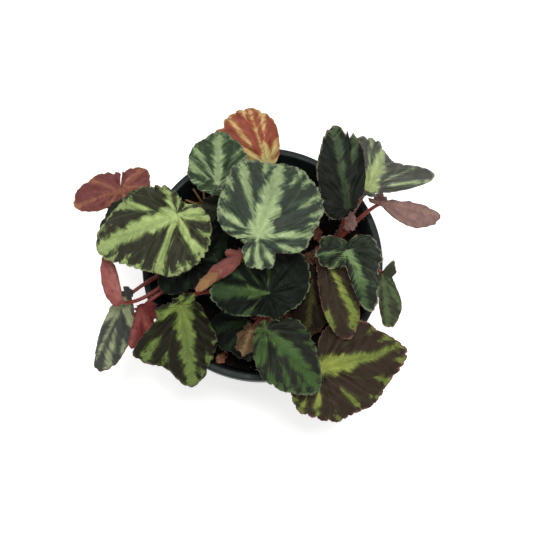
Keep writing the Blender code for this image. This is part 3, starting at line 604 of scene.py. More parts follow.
def outline_radius(leaf, degrees):
    """The blade's reach at each angle from the midrib, the same curve as the solids follow."""
    count = len(leaf.reach)
    place = (degrees % 360) * count / 360
    first = np.floor(place).astype(int)
    t = place - first
    reaches = np.array(leaf.reach, float)
    before, start, end, after = (reaches[(first + k) % count] for k in (-1, 0, 1, 2))
    lead_out, lead_in = (end - before) / 2, (after - start) / 2
    bend = 2 * (start - end) + lead_out + lead_in
    reach = start + t * (lead_out + t * (end - start - lead_out - bend + t * bend))
    reach = reach * (1 - LOBE_ROUND * np.exp(-((turned_from(degrees, leaf.sinus) / LOBE_REACH) ** 2)))
    return reach * (1 + TIP_SHARE * np.exp(-((turned_from(degrees, 0) / TIP_REACH) ** 2)))


def notched_radius(leaf, degrees):
    """The same reach with the small notches that only the fine blade has."""
    reach = outline_radius(leaf, degrees)
    for angle, width, depth in NOTCHES.get(leaf.name, ()):
        reach = reach - depth * np.exp(-((turned_from(degrees, angle) / width) ** 2))
    return reach


def half_width(leaf, side):
    """The blade's longest given reach from 45 to 135 degrees off the midrib, on one side of it."""
    eighth = len(leaf.reach) // 8
    reaches = leaf.reach if side > 0 else leaf.reach[:1] + leaf.reach[:0:-1]
    return max(reaches[eighth : 3 * eighth + 1])


def cross_bend(leaf, v):
    """Where points v millimetres left of the midrib come to lie, as sideways, up and slope."""
    left = v >= 0
    side = np.where(left, 1.0, -1.0)
    curl = np.where(left, leaf.curl_left, leaf.curl_right)
    half = np.where(left, half_width(leaf, 1), half_width(leaf, -1))
    step = np.abs(v) / BEND_STEPS
    away, up = np.zeros_like(v), np.zeros_like(v)
    for k in range(BEND_STEPS):
        at = (k + 0.5) * step / half
        slope = np.radians(curl * at + leaf.fold * np.tanh(3 * at))
        away += step * np.cos(slope)
        up += step * np.sin(slope)
    return side * away, up, side * slope


def bent(leaf, u, v, lift):
    """Points of the blade's middle surface from flat places u along and v left, lifted off the bent sheet."""
    sideways, up, slope = cross_bend(leaf, v)
    up = leaf.face * up + lift * np.cos(slope)
    sideways = sideways - leaf.face * lift * np.sin(slope)
    bend = math.radians(leaf.arch) / leaf.reach[0]
    if abs(bend) > NO_BEND:
        x, drop, tilt = np.sin(bend * u) / bend, (1 - np.cos(bend * u)) / bend, bend * u
    else:
        x, drop, tilt = u, 0 * u, 0 * u
    along, left, normal = leaf_axes(leaf)
    spot = np.array((leaf.x, leaf.y, leaf.z), float)
    forward = x + np.sin(tilt) * up
    upward = np.cos(tilt) * up - drop
    return spot + forward[..., None] * along + sideways[..., None] * left + upward[..., None] * normal


def stripes_of(leaf):
    """The leaf's stripes; a leaf with none of its own has a plain star of them."""
    stripes = LOOKS[leaf.name].stripes
    if stripes:
        return stripes
    start = PLAIN_START * min(leaf.reach[0], 30)
    return ((0, 0, RIM, 2.6, 1.4),) + tuple((angle, start, RIM, 0.6, 1.8) for angle in PLAIN_ANGLES)


def stripe_field(leaf, degrees, reach):
    """How deep in a pale stripe each place lies: 1 in its middle, 0 at its edge, below 0 outside."""
    field = np.full(degrees.shape, float(LOOKS[leaf.name].ground))
    for k, (angle, start, end, first, last, *swing) in enumerate(stripes_of(leaf)):
        margin = float(notched_radius(leaf, np.array([float(angle)]))[0])
        part = np.clip((reach - start) / max(min(end, margin) - start, 1), 0, 1)
        middle = angle + (swing[0] if swing else 0) * part
        away = np.radians((degrees - middle + 180) % 360 - 180)
        along, aside = reach * np.cos(away), reach * np.sin(away)
        # The two edges waver, each in its own way
        phase = 2.1 * k + leaf.heading + np.where(aside > 0, 1.7, 0)
        waver = 1 + 0.16 * np.sin(reach / 1.9 + phase) + 0.14 * np.sin(reach / 3.7 - 2 * phase)
        half = (abs(first) + (abs(last) - abs(first)) * part) * waver
        # A stripe that starts away from the stalk has a pointed foot
        half = half * np.clip(0.4 + (along - start) / 6, 0.4, 1) if start else half
        aside = np.abs(aside)
        inside = np.where(aside < half, 1 - aside / half, (half - aside) / STRIPE_FADE)
        past = np.maximum(start - along, 0) + (np.maximum(along - end, 0) if end < RIM else 0)
        inside = np.where(np.abs(away) > math.pi / 2, -1.0, inside - past / STRIPE_FADE)
        inside = np.clip(inside, -1, np.clip(THIN_STRIPE + half / FULL_STRIPE, 0, 1) if first > 0 else 1)
        field = np.maximum(field, inside) if first > 0 else np.minimum(field, -inside)
    return field


def vein_closeness(degrees, share, reach, width):
    """1 on a main vein and 0 away from it; each vein forks on its way out."""
    close = np.zeros(degrees.shape)
    spread = np.maximum(share - FORK_AT, 0) * FORK_SPREAD
    for angle in VEINS:
        for fork in (-1, 1):
            away = np.radians((degrees - angle - fork * spread + 180) % 360 - 180)
            apart = np.where(np.abs(away) < math.pi / 2, np.abs(reach * np.sin(away)), 99.0)
            close = np.maximum(close, np.exp(-((apart / width) ** 2)))
    return close


def margin_cut(sizes, outline, angle, seed):
    """The margin's scallops and teeth along its own length: how far they stand out, and the scallops alone.
    Slow waves of the length along it make them uneven."""
    steps = np.hypot(np.diff(outline * np.cos(angle)), np.diff(outline * np.sin(angle)))
    arc = np.concatenate([[0.0], np.cumsum(steps)])
    place = arc / sizes.scallop_spacing + 0.35 * np.sin(arc / 8.3 + seed) + 0.2 * np.sin(arc / 3.7 - seed)
    scallop = np.abs(np.sin(math.pi * place)) ** 0.7 - 0.6
    scallop = scallop * (0.75 + 0.45 * np.sin(arc / 11 + seed))
    tooth = 1 - 2 * np.abs((arc / sizes.tooth_spacing + 0.4 * np.sin(arc / 2.9)) % 1 - 0.5)
    uneven = np.sin(arc / 9.7 + seed) * np.sin(arc / 14 - seed)
    cut = sizes.scallop * scallop + sizes.tooth_depth * (tooth - 0.5) + sizes.uneven * uneven
    return cut * np.clip(outline / FULL_WIDTH, 0.3, 1), scallop


def blade_grid(leaf, sizes, seed):
    """The blade's places in rings round its stalk: angle, share of the reach, reach, and the scallops."""
    widest = max(leaf.reach)
    columns = int(np.clip(widest * TURN * 0.72 / sizes.edge_step, *COLUMN_LIMITS))
    rows = int(np.clip(widest * 0.62 / sizes.mesh_step, *ROW_LIMITS))
    ring = (np.arange(rows) + 1) / rows
    share, at = np.meshgrid(ring**0.92, np.arange(columns + 1) / columns, indexing="ij")
    slit = CLOSED_SLIT if leaf.name in CLOSED else SLIT
    degrees = leaf.sinus + slit / 2 + (360 - slit) * at
    outline = notched_radius(leaf, degrees[0])
    cut, scallop = margin_cut(sizes, outline, np.radians(degrees[0]), seed)
    reach = share * outline + cut * share**6
    return degrees, share, reach, np.broadcast_to(scallop, degrees.shape)


def flat_places(degrees, reach):
    """Places on the flat blade, along the midrib and to its left."""
    angle = np.radians(degrees)
    return reach * np.cos(angle), reach * np.sin(angle)


def pillows(degrees, share, reach, seed):
    """The soft relief between main veins and between side veins, about 0 to 1, flat at the stalk."""
    u, v = flat_places(degrees, reach)
    nearest = np.min([turned_from(degrees, angle) for angle in VEINS], axis=0)
    pucker = np.sin(np.clip(nearest / PILLOW, 0, 1) * math.pi / 2) ** 2
    lateral = np.cos(TURN * (u - RIB_SWEEP * np.abs(v)) / RIB_SPACING + seed) * np.clip(np.abs(v) / 6, 0, 1)
    raised = pucker * np.sin(np.clip(share * 1.15, 0, 1) * math.pi) ** 0.7
    raised = raised + RIB_SHARE * lateral * np.clip(1.3 - share, 0, 1)
    return raised * np.clip(reach / 10, 0, 1)


def blade_lift(leaf, sizes, degrees, share, reach, scallop, seed):
    """How far each place is raised off the plain bent sheet: waves, ruffles, pillows, wrinkles."""
    wave = leaf.wave * share**3 * np.sin(np.radians(WAVES * degrees) + leaf.heading)
    thin = np.clip(min(half_width(leaf, 1), half_width(leaf, -1)) / FULL_WIDTH, 0.25, 1)
    ruffle = 0.25 * leaf.wave * share**5 * np.sin(np.radians(RUFFLES * degrees) + seed)
    ruffle = ruffle + sizes.ruffle * thin * scallop * share**4
    quilt = sizes.quilt * thin * pillows(degrees, share, reach, seed)
    dimple = DIMPLE * np.exp(-((reach / DIMPLE_WIDTH) ** 2))
    lift = wave + ruffle + quilt - dimple
    if leaf.name in CRINKLES:
        u, v = flat_places(degrees, reach)
        flat = np.stack([u, v, np.zeros_like(u)], -1).reshape(-1, 3)
        lift = lift + CRINKLES[leaf.name] * soft_noise(flat, CRINKLE_SIZE, seed).reshape(u.shape) * share
    return lift


def blade_values(leaf, degrees, share, reach, seed):
    """What the blade's material reads at each point, the middle's own value last."""
    u, v = flat_places(degrees, reach)
    ribs = np.abs(v) * RIB_SWEEP
    depth = np.full(u.shape, seed)
    # Strokes run outwards and forwards from the midrib, and round the back they run outwards
    ahead = np.stack([(u - ribs) / STROKE_WIDTH, ribs / STROKE_LENGTH, depth], -1)
    behind = np.stack([np.radians(degrees) * STROKES_ROUND, reach / STROKE_LENGTH, depth], -1)
    blend = np.clip(u / 8 + 0.5, 0, 1)[..., None]
    drawn = vein_closeness(degrees, share, reach, DRAWN_VEIN) * np.clip((reach - 3) / 10, 0, 1)
    values = {
        "flat": (np.stack([u, v, depth], -1), (0, 0, seed)),
        "stroke": (ahead * blend + behind * (1 - blend), (0, 0, seed)),
        "stripe": (stripe_field(leaf, degrees, reach), 1),
        "pillow": (pillows(degrees, share, reach, seed), 0.5),
        "vein": (drawn, 0),
        "rim": (share, 0),
        "reach": (reach, 0),
    }
    return {
        key: np.concatenate([grid.reshape(u.size, *grid.shape[2:]), np.asarray([middle], float)])
        for key, (grid, middle) in values.items()
    }


def blade(leaf, sizes, materials):
    """One finely modelled blade, quilted between its veins, ruffled and toothed at its margin; returns it
    with the upper and the lower line of its margin."""
    seed = leaf.heading * 0.37 + max(leaf.reach)
    degrees, share, reach, scallop = blade_grid(leaf, sizes, seed)
    rows, width = degrees.shape
    lift = blade_lift(leaf, sizes, degrees, share, reach, scallop, seed)
    middle = bent(leaf, *flat_places(degrees, reach), lift)
    normals = unit(np.cross(np.gradient(middle, axis=0), np.gradient(middle, axis=1)))
    veins = vein_closeness(degrees, share, reach, RAISED_VEIN)
    half = sizes.blade / 2 * (1 - EDGE_THINNING * share**10)
    upper = middle + normals * (half - VEIN_GROOVE * veins)[..., None]
    lower = middle - normals * (half + sizes.vein_height * veins * (1 - 0.8 * share))[..., None]
    centre = bent(leaf, np.zeros(1), np.zeros(1), np.full(1, -DIMPLE))
    up = leaf_axes(leaf)[2] * sizes.blade / 2
    values = blade_values(leaf, degrees, share, reach, seed)
    hub = rows * width
    sheet = grid_faces(rows, width) + [[hub, j, j + 1] for j in range(width - 1)]
    shape = Shape()
    shape.add(np.concatenate([upper.reshape(-1, 3), centre + up]), sheet, 0, **values)
    shape.add(np.concatenate([lower.reshape(-1, 3), centre - up]), [f[::-1] for f in sheet], 1, **values)
    # The wall round the margin and down both sides of the slit
    border = [(rows - 1) * width + j for j in range(width)]
    border += [r * width + width - 1 for r in range(rows - 2, -1, -1)]
    border += [hub] + [r * width for r in range(rows - 1)]
    points = hub + 1
    wall = [[a, a + points, b + points, b] for a, b in zip(border, border[1:] + border[:1])]
    shape.faces += wall
    shape.slots += [0] * len(wall)
    return shape.build(leaf.name + "_blade", materials), (upper[-1], lower[-1])


def grid_faces(rows, width):
    """Quads between the rings of a grid, facing up where the rings run anticlockwise."""
    return [
        [r * width + j, (r + 1) * width + j, (r + 1) * width + j + 1, r * width + j + 1]
        for r in range(rows - 1)
        for j in range(width - 1)
    ]


def ring_faces(rings, sides):
    """Faces between closed rings of points, and a fan at either end to a pole; the poles follow the rings."""
    faces = []
    for k in range(rings - 1):
        for j in range(sides):
            n = (j + 1) % sides
            faces.append([k * sides + j, k * sides + n, (k + 1) * sides + n, (k + 1) * sides + j])
    first, top = rings * sides, (rings - 1) * sides
    faces += [[first, (j + 1) % sides, j] for j in range(sides)]
    faces += [[first + 1, top + j, top + (j + 1) % sides] for j in range(sides)]
    return faces


def blade_material(face):
    """A living blade: a thin waxy skin over soft tissue. The pale stripes feather into the dark green
    along fine strokes, the skin is finely pebbled, and it shines only softly."""
    material, node, shader = new_material(face.name)
    read = {
        key: node("ShaderNodeAttribute", attribute_name=key).outputs
        for key in ("flat", "stroke", "stripe", "pillow", "vein", "rim", "reach")
    }
    flat, stroke = read["flat"]["Vector"], read["stroke"]["Vector"]
    stripe, pillow, vein = (read[key]["Fac"] for key in ("stripe", "pillow", "vein"))
    rim, reach = read["rim"]["Fac"], read["reach"]["Fac"]
    # Strokes about 1 mm wide and 8 mm long, and jags twice as coarse, fray the edge of each stripe
    strokes = node("ShaderNodeTexNoise", {"Vector": stroke, "Scale": 0.8, "Detail": 3.0})
    jags = node("ShaderNodeTexNoise", {"Vector": stroke, "Scale": 0.33, "Detail": 1.0})
    fine, coarse = FINE_FRAY * face.feather, COARSE_FRAY * face.feather
    frayed = node("ShaderNodeMath", {0: strokes, 1: fine, 2: stripe}, operation="MULTIPLY_ADD")
    frayed = node("ShaderNodeMath", {0: jags, 1: coarse, 2: frayed}, operation="MULTIPLY_ADD")
    # Mottling 3 to 4 mm across, which grows over the outer third of the blade
    spots = node("ShaderNodeTexNoise", {"Vector": flat, "Scale": 0.33, "Detail": 2.0})
    centred = node("ShaderNodeMath", {0: spots, 1: -0.47}, operation="ADD")
    outer = node(
        "ShaderNodeMapRange",
        {"Value": rim, "From Min": 0.72, "From Max": 1.0, "To Min": 0.5, "To Max": 5.0 * face.spots},
    )
    mottled = node("ShaderNodeMath", {0: centred, 1: outer, 2: frayed}, operation="MULTIPLY_ADD")
    veined = node("ShaderNodeMath", {0: vein, 1: face.veins, 2: mottled}, operation="MULTIPLY_ADD")
    # Both frays have a mean of one half, which is taken off here
    mean = (fine + coarse) / 2
    shown = node("ShaderNodeMapRange", {"Value": veined, "From Min": mean - 1.0, "From Max": mean + 1.0})
    stops = ((0.29, face.dark), (0.5, face.edge), (0.72, face.stripe))
    colours = node("ShaderNodeValToRGB", {"Fac": shown}, stops=stops)
    # The veins show faintly in the dark tissue, where they are paler, and in the pale, where they are darker
    drawn = node("ShaderNodeMath", {0: vein, 1: VEIN_TINT}, operation="MULTIPLY")
    ribbed = node("ShaderNodeMix", {0: drawn, 6: colours, 7: linear(face.edge)}, data_type="RGBA")
    # The pale tissue is yellower and lighter within about 25 mm of the stalk
    near = node(
        "ShaderNodeMapRange",
        {"Value": reach, "From Min": 2.0, "From Max": 26.0, "To Min": 1.0, "To Max": 0.0},
    )
    pale = node("ShaderNodeMapRange", {"Value": shown, "From Min": 0.45, "From Max": 0.75})
    share = node("ShaderNodeMath", {0: near, 1: pale}, operation="MULTIPLY")
    heart = node("ShaderNodeMix", {0: share, 6: ribbed, 7: linear(face.heart)}, data_type="RGBA")
    # Cloudy shades about 4 mm across and fine strokes half a millimetre wide; painted shade darkens the
    # valleys along the veins and painted light brightens the tops of the pillows
    clouds = node("ShaderNodeTexNoise", {"Vector": flat, "Scale": 0.25, "Detail": 5.0, "Roughness": 0.7})
    brush = node("ShaderNodeTexNoise", {"Vector": stroke, "Scale": 1.7, "Detail": 4.0, "Roughness": 0.7})
    brushed = node("ShaderNodeMath", {0: brush, 1: clouds}, operation="ADD")
    shade = node(
        "ShaderNodeMapRange",
        {"Value": brushed, "From Min": 0.65, "From Max": 1.35, "To Min": 0.62, "To Max": 1.34},
    )
    # Painted shade and light by the pillows' height: darker in the valleys, lighter on the pillow tops
    painted_valley_shade = node(
        "ShaderNodeMapRange",
        {"Value": pillow, "From Min": -0.4, "From Max": 1.0, "To Min": PAINTED_VALLEY_SHADE, "To Max": 1.1},
    )
    shade = node("ShaderNodeMath", {0: shade, 1: painted_valley_shade}, operation="MULTIPLY")
    shaded = node("ShaderNodeMix", {0: 1.0, 6: heart, 7: shade}, data_type="RGBA", blend_type="MULTIPLY")
    # A thin coloured line at the very margin, broken where the mottling is dark
    line = node("ShaderNodeMapRange", {"Value": rim, "From Min": 0.955, "From Max": 0.99})
    broken = node("ShaderNodeMapRange", {"Value": spots, "From Min": 0.38, "From Max": 0.56})
    line = node("ShaderNodeMath", {0: line, 1: broken}, operation="MULTIPLY")
    edged = node("ShaderNodeMix", {0: line, 6: shaded, 7: linear(face.margin)}, data_type="RGBA")
    # Cells about 0.7 mm across, larger than life so that they show, over creases along the strokes
    cells = node("ShaderNodeTexVoronoi", {"Vector": flat, "Scale": 1.4}, feature="SMOOTH_F1")
    raised = node("ShaderNodeMath", {0: vein, 1: -0.8, 2: cells}, operation="MULTIPLY_ADD")
    raised = node("ShaderNodeMath", {0: strokes, 1: 1.8, 2: raised}, operation="MULTIPLY_ADD")
    relief = node("ShaderNodeBump", {"Strength": 0.6, "Distance": 0.35 * MM, "Height": raised})
    set_inputs(shader, {"Base Color": edged, "Normal": relief, "Roughness": 0.5})
    set_inputs(shader, {"IOR": CELL_IOR, "Specular IOR Level": face.gloss})
    return material


def curve_points(a, b, c, d, count):
    """Points of the cubic curve with these four control points."""
    t = np.linspace(0, 1, count)[:, None]
    s = 1 - t
    return a * s**3 + b * 3 * s * s * t + c * 3 * s * t * t + d * t**3


def tube(centres, radii, sides, ripple=0.0, seed=0.0):
    """A closed tube of points and faces, with a rounded cap at either end."""
    centres = np.asarray(centres, float)
    axes = unit(np.gradient(centres, axis=0))
    side = np.array((0.0, 0.0, 1.0)) if abs(axes[0][2]) < 0.8 else np.array((1.0, 0.0, 0.0))
    angles = TURN * np.arange(sides) / sides
    rings = []
    for k, (centre, axis) in enumerate(zip(centres, axes)):
        side = unit(side - axis * side.dot(axis))
        other = np.cross(axis, side)
        bump = 1 + ripple * np.sin(3 * angles + seed + k * 0.9) * np.sin(k * 1.7 + seed)
        radius = (radii[k] * bump)[:, None]
        rings.append(centre + (np.cos(angles)[:, None] * side + np.sin(angles)[:, None] * other) * radius)
    poles = [centres[:1] - axes[:1] * radii[0] * 0.4, centres[-1:] + axes[-1:] * radii[-1] * 0.4]
    return np.concatenate(rings + poles), ring_faces(len(rings), sides)


def rhizome_point(crown, share):
    """A point of the rhizome's axis, from its old end at 0 to its growing tip at 1."""
    angle = math.radians(crown.heading)
    reach = crown.length * (share - 0.5)
    height = SOIL_TOP + SOIL_CROWN + RHIZOME_RADIUS - RHIZOME_SINK
    return np.array((crown.x + reach * math.cos(angle), crown.y + reach * math.sin(angle), height))


def petiole_line(leaf, count):
    """The middle line of a leaf's stalk, from inside its rhizome to inside its blade."""
    foot = rhizome_point(CROWNS[leaf.crown], FIRST_STALK + STALK_SPAN * leaf.share)
    along, left, normal = leaf_axes(leaf)
    neck = np.array((leaf.x, leaf.y, leaf.z), float) - normal * NECK_DEPTH
    gap = np.linalg.norm(neck - foot)
    out = np.array((neck[0] - foot[0], neck[1] - foot[1], 0))
    spread = np.linalg.norm(out)
    rise = unit(np.array((0, 0, 1)) + out * (FOOT_LEAN / max(spread, 1)))
    arrive = unit(normal * NECK_UNDER + along * NECK_ALONG + out * (FOOT_LEAN / max(spread, LEAN)))
    first, second = foot + rise * gap * FOOT_PULL, neck - arrive * gap * NECK_PULL
    return curve_points(foot, first, second, neck, count)


def soil_height(x, y):
    """The soil's surface, with the same lumps as the solid."""
    reach = math.hypot(x, y) / RIM_RADIUS
    lump = noise.noise(Vector((x, y, 3.0)) / SOIL_LUMP_SCALE)
    return SOIL_TOP + SOIL_CROWN * (1 - reach * reach) + SOIL_LUMP * lump


def wall_radius(z):
    """The pot's outer radius at height z, under the skirt."""
    return FLOOR_RADIUS + (RIM_RADIUS - LIP_WIDTH - FLOOR_RADIUS) * z / POT_HEIGHT


def inner_radius(z):
    return wall_radius(z) - WALL - (STEP_WIDTH if z < STEP_HEIGHT else 0)


def rounded(profile, radius, steps=3):
    """The closed profile with each corner rounded off by a short curve."""
    points = []
    for k, corner in enumerate(profile):
        corner = np.array(corner, float)
        if corner[0] < ON_AXIS:
            points.append(corner)
            continue
        before, after = np.array(profile[k - 1], float), np.array(profile[(k + 1) % len(profile)], float)
        back = min(radius, 0.4 * np.linalg.norm(before - corner))
        ahead = min(radius, 0.4 * np.linalg.norm(after - corner))
        start, end = corner + unit(before - corner) * back, corner + unit(after - corner) * ahead
        for t in np.linspace(0, 1, steps + 1):
            points.append((1 - t) ** 2 * start + 2 * t * (1 - t) * corner + t * t * end)
    return points


def turned(profile, sides):
    """Points and faces of a profile that starts and ends on the axis, turned about it."""
    inner = [p for p in profile if p[0] > ON_AXIS]
    angles = TURN * np.arange(sides) / sides
    rings = [np.stack([r * np.cos(angles), r * np.sin(angles), np.full(sides, z)], -1) for r, z in inner]
    poles = np.array([(0, 0, profile[0][1]), (0, 0, profile[-1][1])])
    return np.concatenate(rings + [poles]), ring_faces(len(inner), sides)


def plain_material(name, colours, size, roughness, relief, depth, specular):
    """A material of noise between colours, with features of a size and relief of a depth in millimetres."""
    if name in bpy.data.materials:
        return bpy.data.materials[name]
    material, node, shader = new_material(name)
    place = node("ShaderNodeTexCoord").outputs["Object"]
    grain = node(
        "ShaderNodeTexNoise", {"Vector": place, "Scale": 1 / (size * MM), "Detail": 5.0, "Roughness": 0.65}
    )
    stops = [(0.3 + 0.4 * k / (len(colours) - 1), colour) for k, colour in enumerate(colours)]
    ramp = node("ShaderNodeValToRGB", {"Fac": grain}, stops=stops)
    bump = node("ShaderNodeBump", {"Strength": relief, "Distance": depth * MM, "Height": grain})
    set_inputs(shader, {"Base Color": ramp, "Normal": bump})
    set_inputs(shader, {"Roughness": roughness, "Specular IOR Level": specular})
    return material


def pot_material(colour):
    """Injection-moulded polypropylene: a satin skin with faint flow marks, a little dull where handled,
    and dusted with dried peat."""
    material, node, shader = new_material("moulded_green_polypropylene")
    place = node("ShaderNodeTexCoord").outputs["Object"]
    # Flow marks: streaks about 3 mm apart that run down the wall
    stretched = node("ShaderNodeMapping", {"Vector": place, "Scale": (1.0, 1.0, 0.12)})
    streaks = node("ShaderNodeTexNoise", {"Vector": stretched, "Scale": 320.0, "Detail": 3.0})
    tone = node(
        "ShaderNodeMapRange",
        {"Value": streaks, "From Min": 0.3, "From Max": 0.7, "To Min": 0.85, "To Max": 1.15},
    )
    base = node(
        "ShaderNodeMix", {0: 1.0, 6: (*colour, 1.0), 7: tone}, data_type="RGBA", blend_type="MULTIPLY"
    )
    # Patches of dust about 11 mm across, where the skin is duller too
    dust = node("ShaderNodeTexNoise", {"Vector": place, "Scale": 90.0, "Detail": 6.0, "Roughness": 0.7})
    dusty = node("ShaderNodeMapRange", {"Value": dust, "From Min": 0.55, "From Max": 0.8, "To Max": 0.22})
    mixed = node("ShaderNodeMix", {0: dusty, 6: base, 7: linear(DRY_PEAT_DUST)}, data_type="RGBA")
    rough = node(
        "ShaderNodeMapRange", {"Value": dust, "From Min": 0.3, "From Max": 0.7, "To Min": 0.4, "To Max": 0.65}
    )
    bump = node("ShaderNodeBump", {"Strength": 0.15, "Distance": 0.1 * MM, "Height": streaks})
    set_inputs(shader, {"Base Color": mixed, "Roughness": rough, "Normal": bump})
    set_inputs(shader, {"IOR": 1.49, "Specular IOR Level": 0.25})
    return material


def start_tree(name, sockets):
    """A node tree with a surface in, a mesh out and named inputs, which spreads seeded points on the
    surface; returns the tree, the function that adds its nodes, its inputs and the points."""
    tree = bpy.data.node_groups.new(name, "GeometryNodeTree")
    common = (("Surface", "Geometry"), ("Density", "Float"), ("Seed", "Int"), ("Material", "Material"))
    for label, kind in common + sockets:
        tree.interface.new_socket(label, in_out="INPUT", socket_type="NodeSocket" + kind)
    tree.interface.new_socket("Result", in_out="OUTPUT", socket_type="NodeSocketGeometry")
    node = partial(add_node, tree)
    given = node("NodeGroupInput").outputs
    spread = node(
        "GeometryNodeDistributePointsOnFaces",
        {"Mesh": given["Surface"], "Density": given["Density"], "Seed": given["Seed"]},
    )
    return tree, node, given, spread.outputs


def end_tree(node, given, spread, instance, turn, size):
    """Puts the instance on every point, realizes it, gives it its material and ends the tree."""
    placed = node(
        "GeometryNodeInstanceOnPoints",
        {"Points": spread["Points"], "Instance": instance, "Rotation": turn, "Scale": size},
    )
    real = node("GeometryNodeRealizeInstances", {"Geometry": placed})
    dressed = node("GeometryNodeSetMaterial", {"Geometry": real, "Material": given["Material"]})
    node("NodeGroupOutput", {0: dressed})


def hair_tree():
    """Thin tapering hairs that stand off a surface, each leaning its own way."""
    sockets = (("Length", "Float"), ("Thickness", "Float"), ("Lean", "Float"))
    tree, node, given, spread = start_tree("hairs", sockets)
    hair = node(
        "GeometryNodeMeshCone",
        {
            "Vertices": 3,
            "Side Segments": 2,
            "Radius Top": 0.0,
            "Radius Bottom": given["Thickness"],
            "Depth": given["Length"],
        },
        fill_type="TRIANGLE_FAN",
    )
    aside = node(
        "FunctionNodeRandomValue",
        {0: (-1.0, -1.0, -1.0), 1: (1.0, 1.0, 1.0), "Seed": given["Seed"]},
        data_type="FLOAT_VECTOR",
    )
    leaning = node("ShaderNodeVectorMath", {0: aside, "Scale": given["Lean"]}, operation="SCALE")
    way = node("ShaderNodeVectorMath", {0: spread["Normal"], 1: leaning}, operation="ADD")
    turn = node("FunctionNodeAlignRotationToVector", {"Vector": way}, axis="Z")
    size = node(
        "FunctionNodeRandomValue",
        {2: SHORTEST_HAIR, 3: LONGEST_HAIR, "Seed": given["Seed"]},
        data_type="FLOAT",
    )
    end_tree(node, given, spread, hair, turn, size)
    return tree


def grain_tree():
    """Rough grains lying on a surface, each turned and stretched its own way."""
    sockets = (("Size", "Float"), ("Narrowest", "Vector"), ("Widest", "Vector"))
    tree, node, given, spread = start_tree("grains", sockets)
    ball = node("GeometryNodeMeshIcoSphere", {"Radius": given["Size"], "Subdivisions": 1})
    turn = node(
        "FunctionNodeRandomValue",
        {0: (0.0, 0.0, 0.0), 1: (TURN, TURN, TURN), "Seed": given["Seed"]},
        data_type="FLOAT_VECTOR",
    )
    size = node(
        "FunctionNodeRandomValue",
        {0: given["Narrowest"], 1: given["Widest"], "Seed": given["Seed"]},
        data_type="FLOAT_VECTOR",
    )
    end_tree(node, given, spread, ball, turn, size)
    return tree


def grown_on(name, source, tree, values):
    """The plain mesh object that the tree makes on the source object, which keeps no modifier."""
    modifier = source.modifiers.new(name, "NODES")
    modifier.node_group = tree
    for item in tree.interface.items_tree:
        if item.name in values:
            modifier[item.identifier] = values[item.name]
    graph = bpy.context.evaluated_depsgraph_get()
    mesh = bpy.data.meshes.new_from_object(source.evaluated_get(graph))
    source.modifiers.remove(modifier)
    mesh.name = name
    return stand(name, mesh)


def grow_hairs(name, source, hairs, length, index=0):
    """Hairs of one kind on the source object, of a length in millimetres."""
    values = {
        "Density": hairs.density,
        "Length": length * MM,
        "Thickness": hairs.thickness * MM,
        "Lean": hairs.lean,
        "Seed": hairs.seed + index,
        "Material": hair_material(),
    }
    return grown_on(name, source, hair_tree(), values)


class BegoniaSizes(bpy.types.PropertyGroup):
    """Sizes of the fine surface, in millimetres."""

    mesh_step: bpy.props.FloatProperty(
        name="Mesh step", description="Distance between a blade's rings, in mm", default=1.3, min=0.8
    )
    edge_step: bpy.props.FloatProperty(
        name="Edge step", description="Distance between a margin's points, in mm", default=0.85, min=0.5
    )
    blade: bpy.props.FloatProperty(
        name="Blade thickness", description="Thickness of a leaf blade, in mm", default=0.55, min=0.3, max=0.8
    )
    scallop: bpy.props.FloatProperty(
        name="Scallops", description="Depth of the margin's scallops, in mm", default=1.5
    )
    scallop_spacing: bpy.props.FloatProperty(
        name="Scallop spacing", description="Width of a scallop of the margin, in mm", default=6.4
    )
    tooth_depth: bpy.props.FloatProperty(
        name="Tooth depth", description="Depth of the margin's small teeth, in mm", default=0.5
    )
    tooth_spacing: bpy.props.FloatProperty(
        name="Tooth spacing", description="Distance between the margin's teeth, in mm", default=2.4
    )
    uneven: bpy.props.FloatProperty(
        name="Unevenness", description="How far the margin strays from its smooth outline, in mm", default=0.7
    )
    ruffle: bpy.props.FloatProperty(
        name="Ruffle", description="How far each scallop of the margin is cupped, in mm", default=0.8
    )
    quilt: bpy.props.FloatProperty(
        name="Quilting", description="Height of the pillows between the veins, in mm", default=1.3
    )
    vein_height: bpy.props.FloatProperty(
        name="Vein height", description="How far the veins stand out below, in mm", default=0.5
    )
    hair: bpy.props.FloatProperty(
        name="Hair length", description="Length of the hairs on the stalks, in mm", default=1.5
    )
    grain: bpy.props.FloatProperty(
        name="Grain size", description="Radius of a crumb of peat, in mm", default=0.75
    )


class BegoniaColours(bpy.types.PropertyGroup):
    """Colours of the pot and the floor."""

    pot: bpy.props.FloatVectorProperty(
        name="Pot", description="Colour of the moulded pot", subtype="COLOR", default=linear("#14201c")[:3]
    )
    floor: bpy.props.FloatVectorProperty(
        name="Floor", description="Colour of the floor", subtype="COLOR", default=linear("#fbfbfa")[:3]
    )


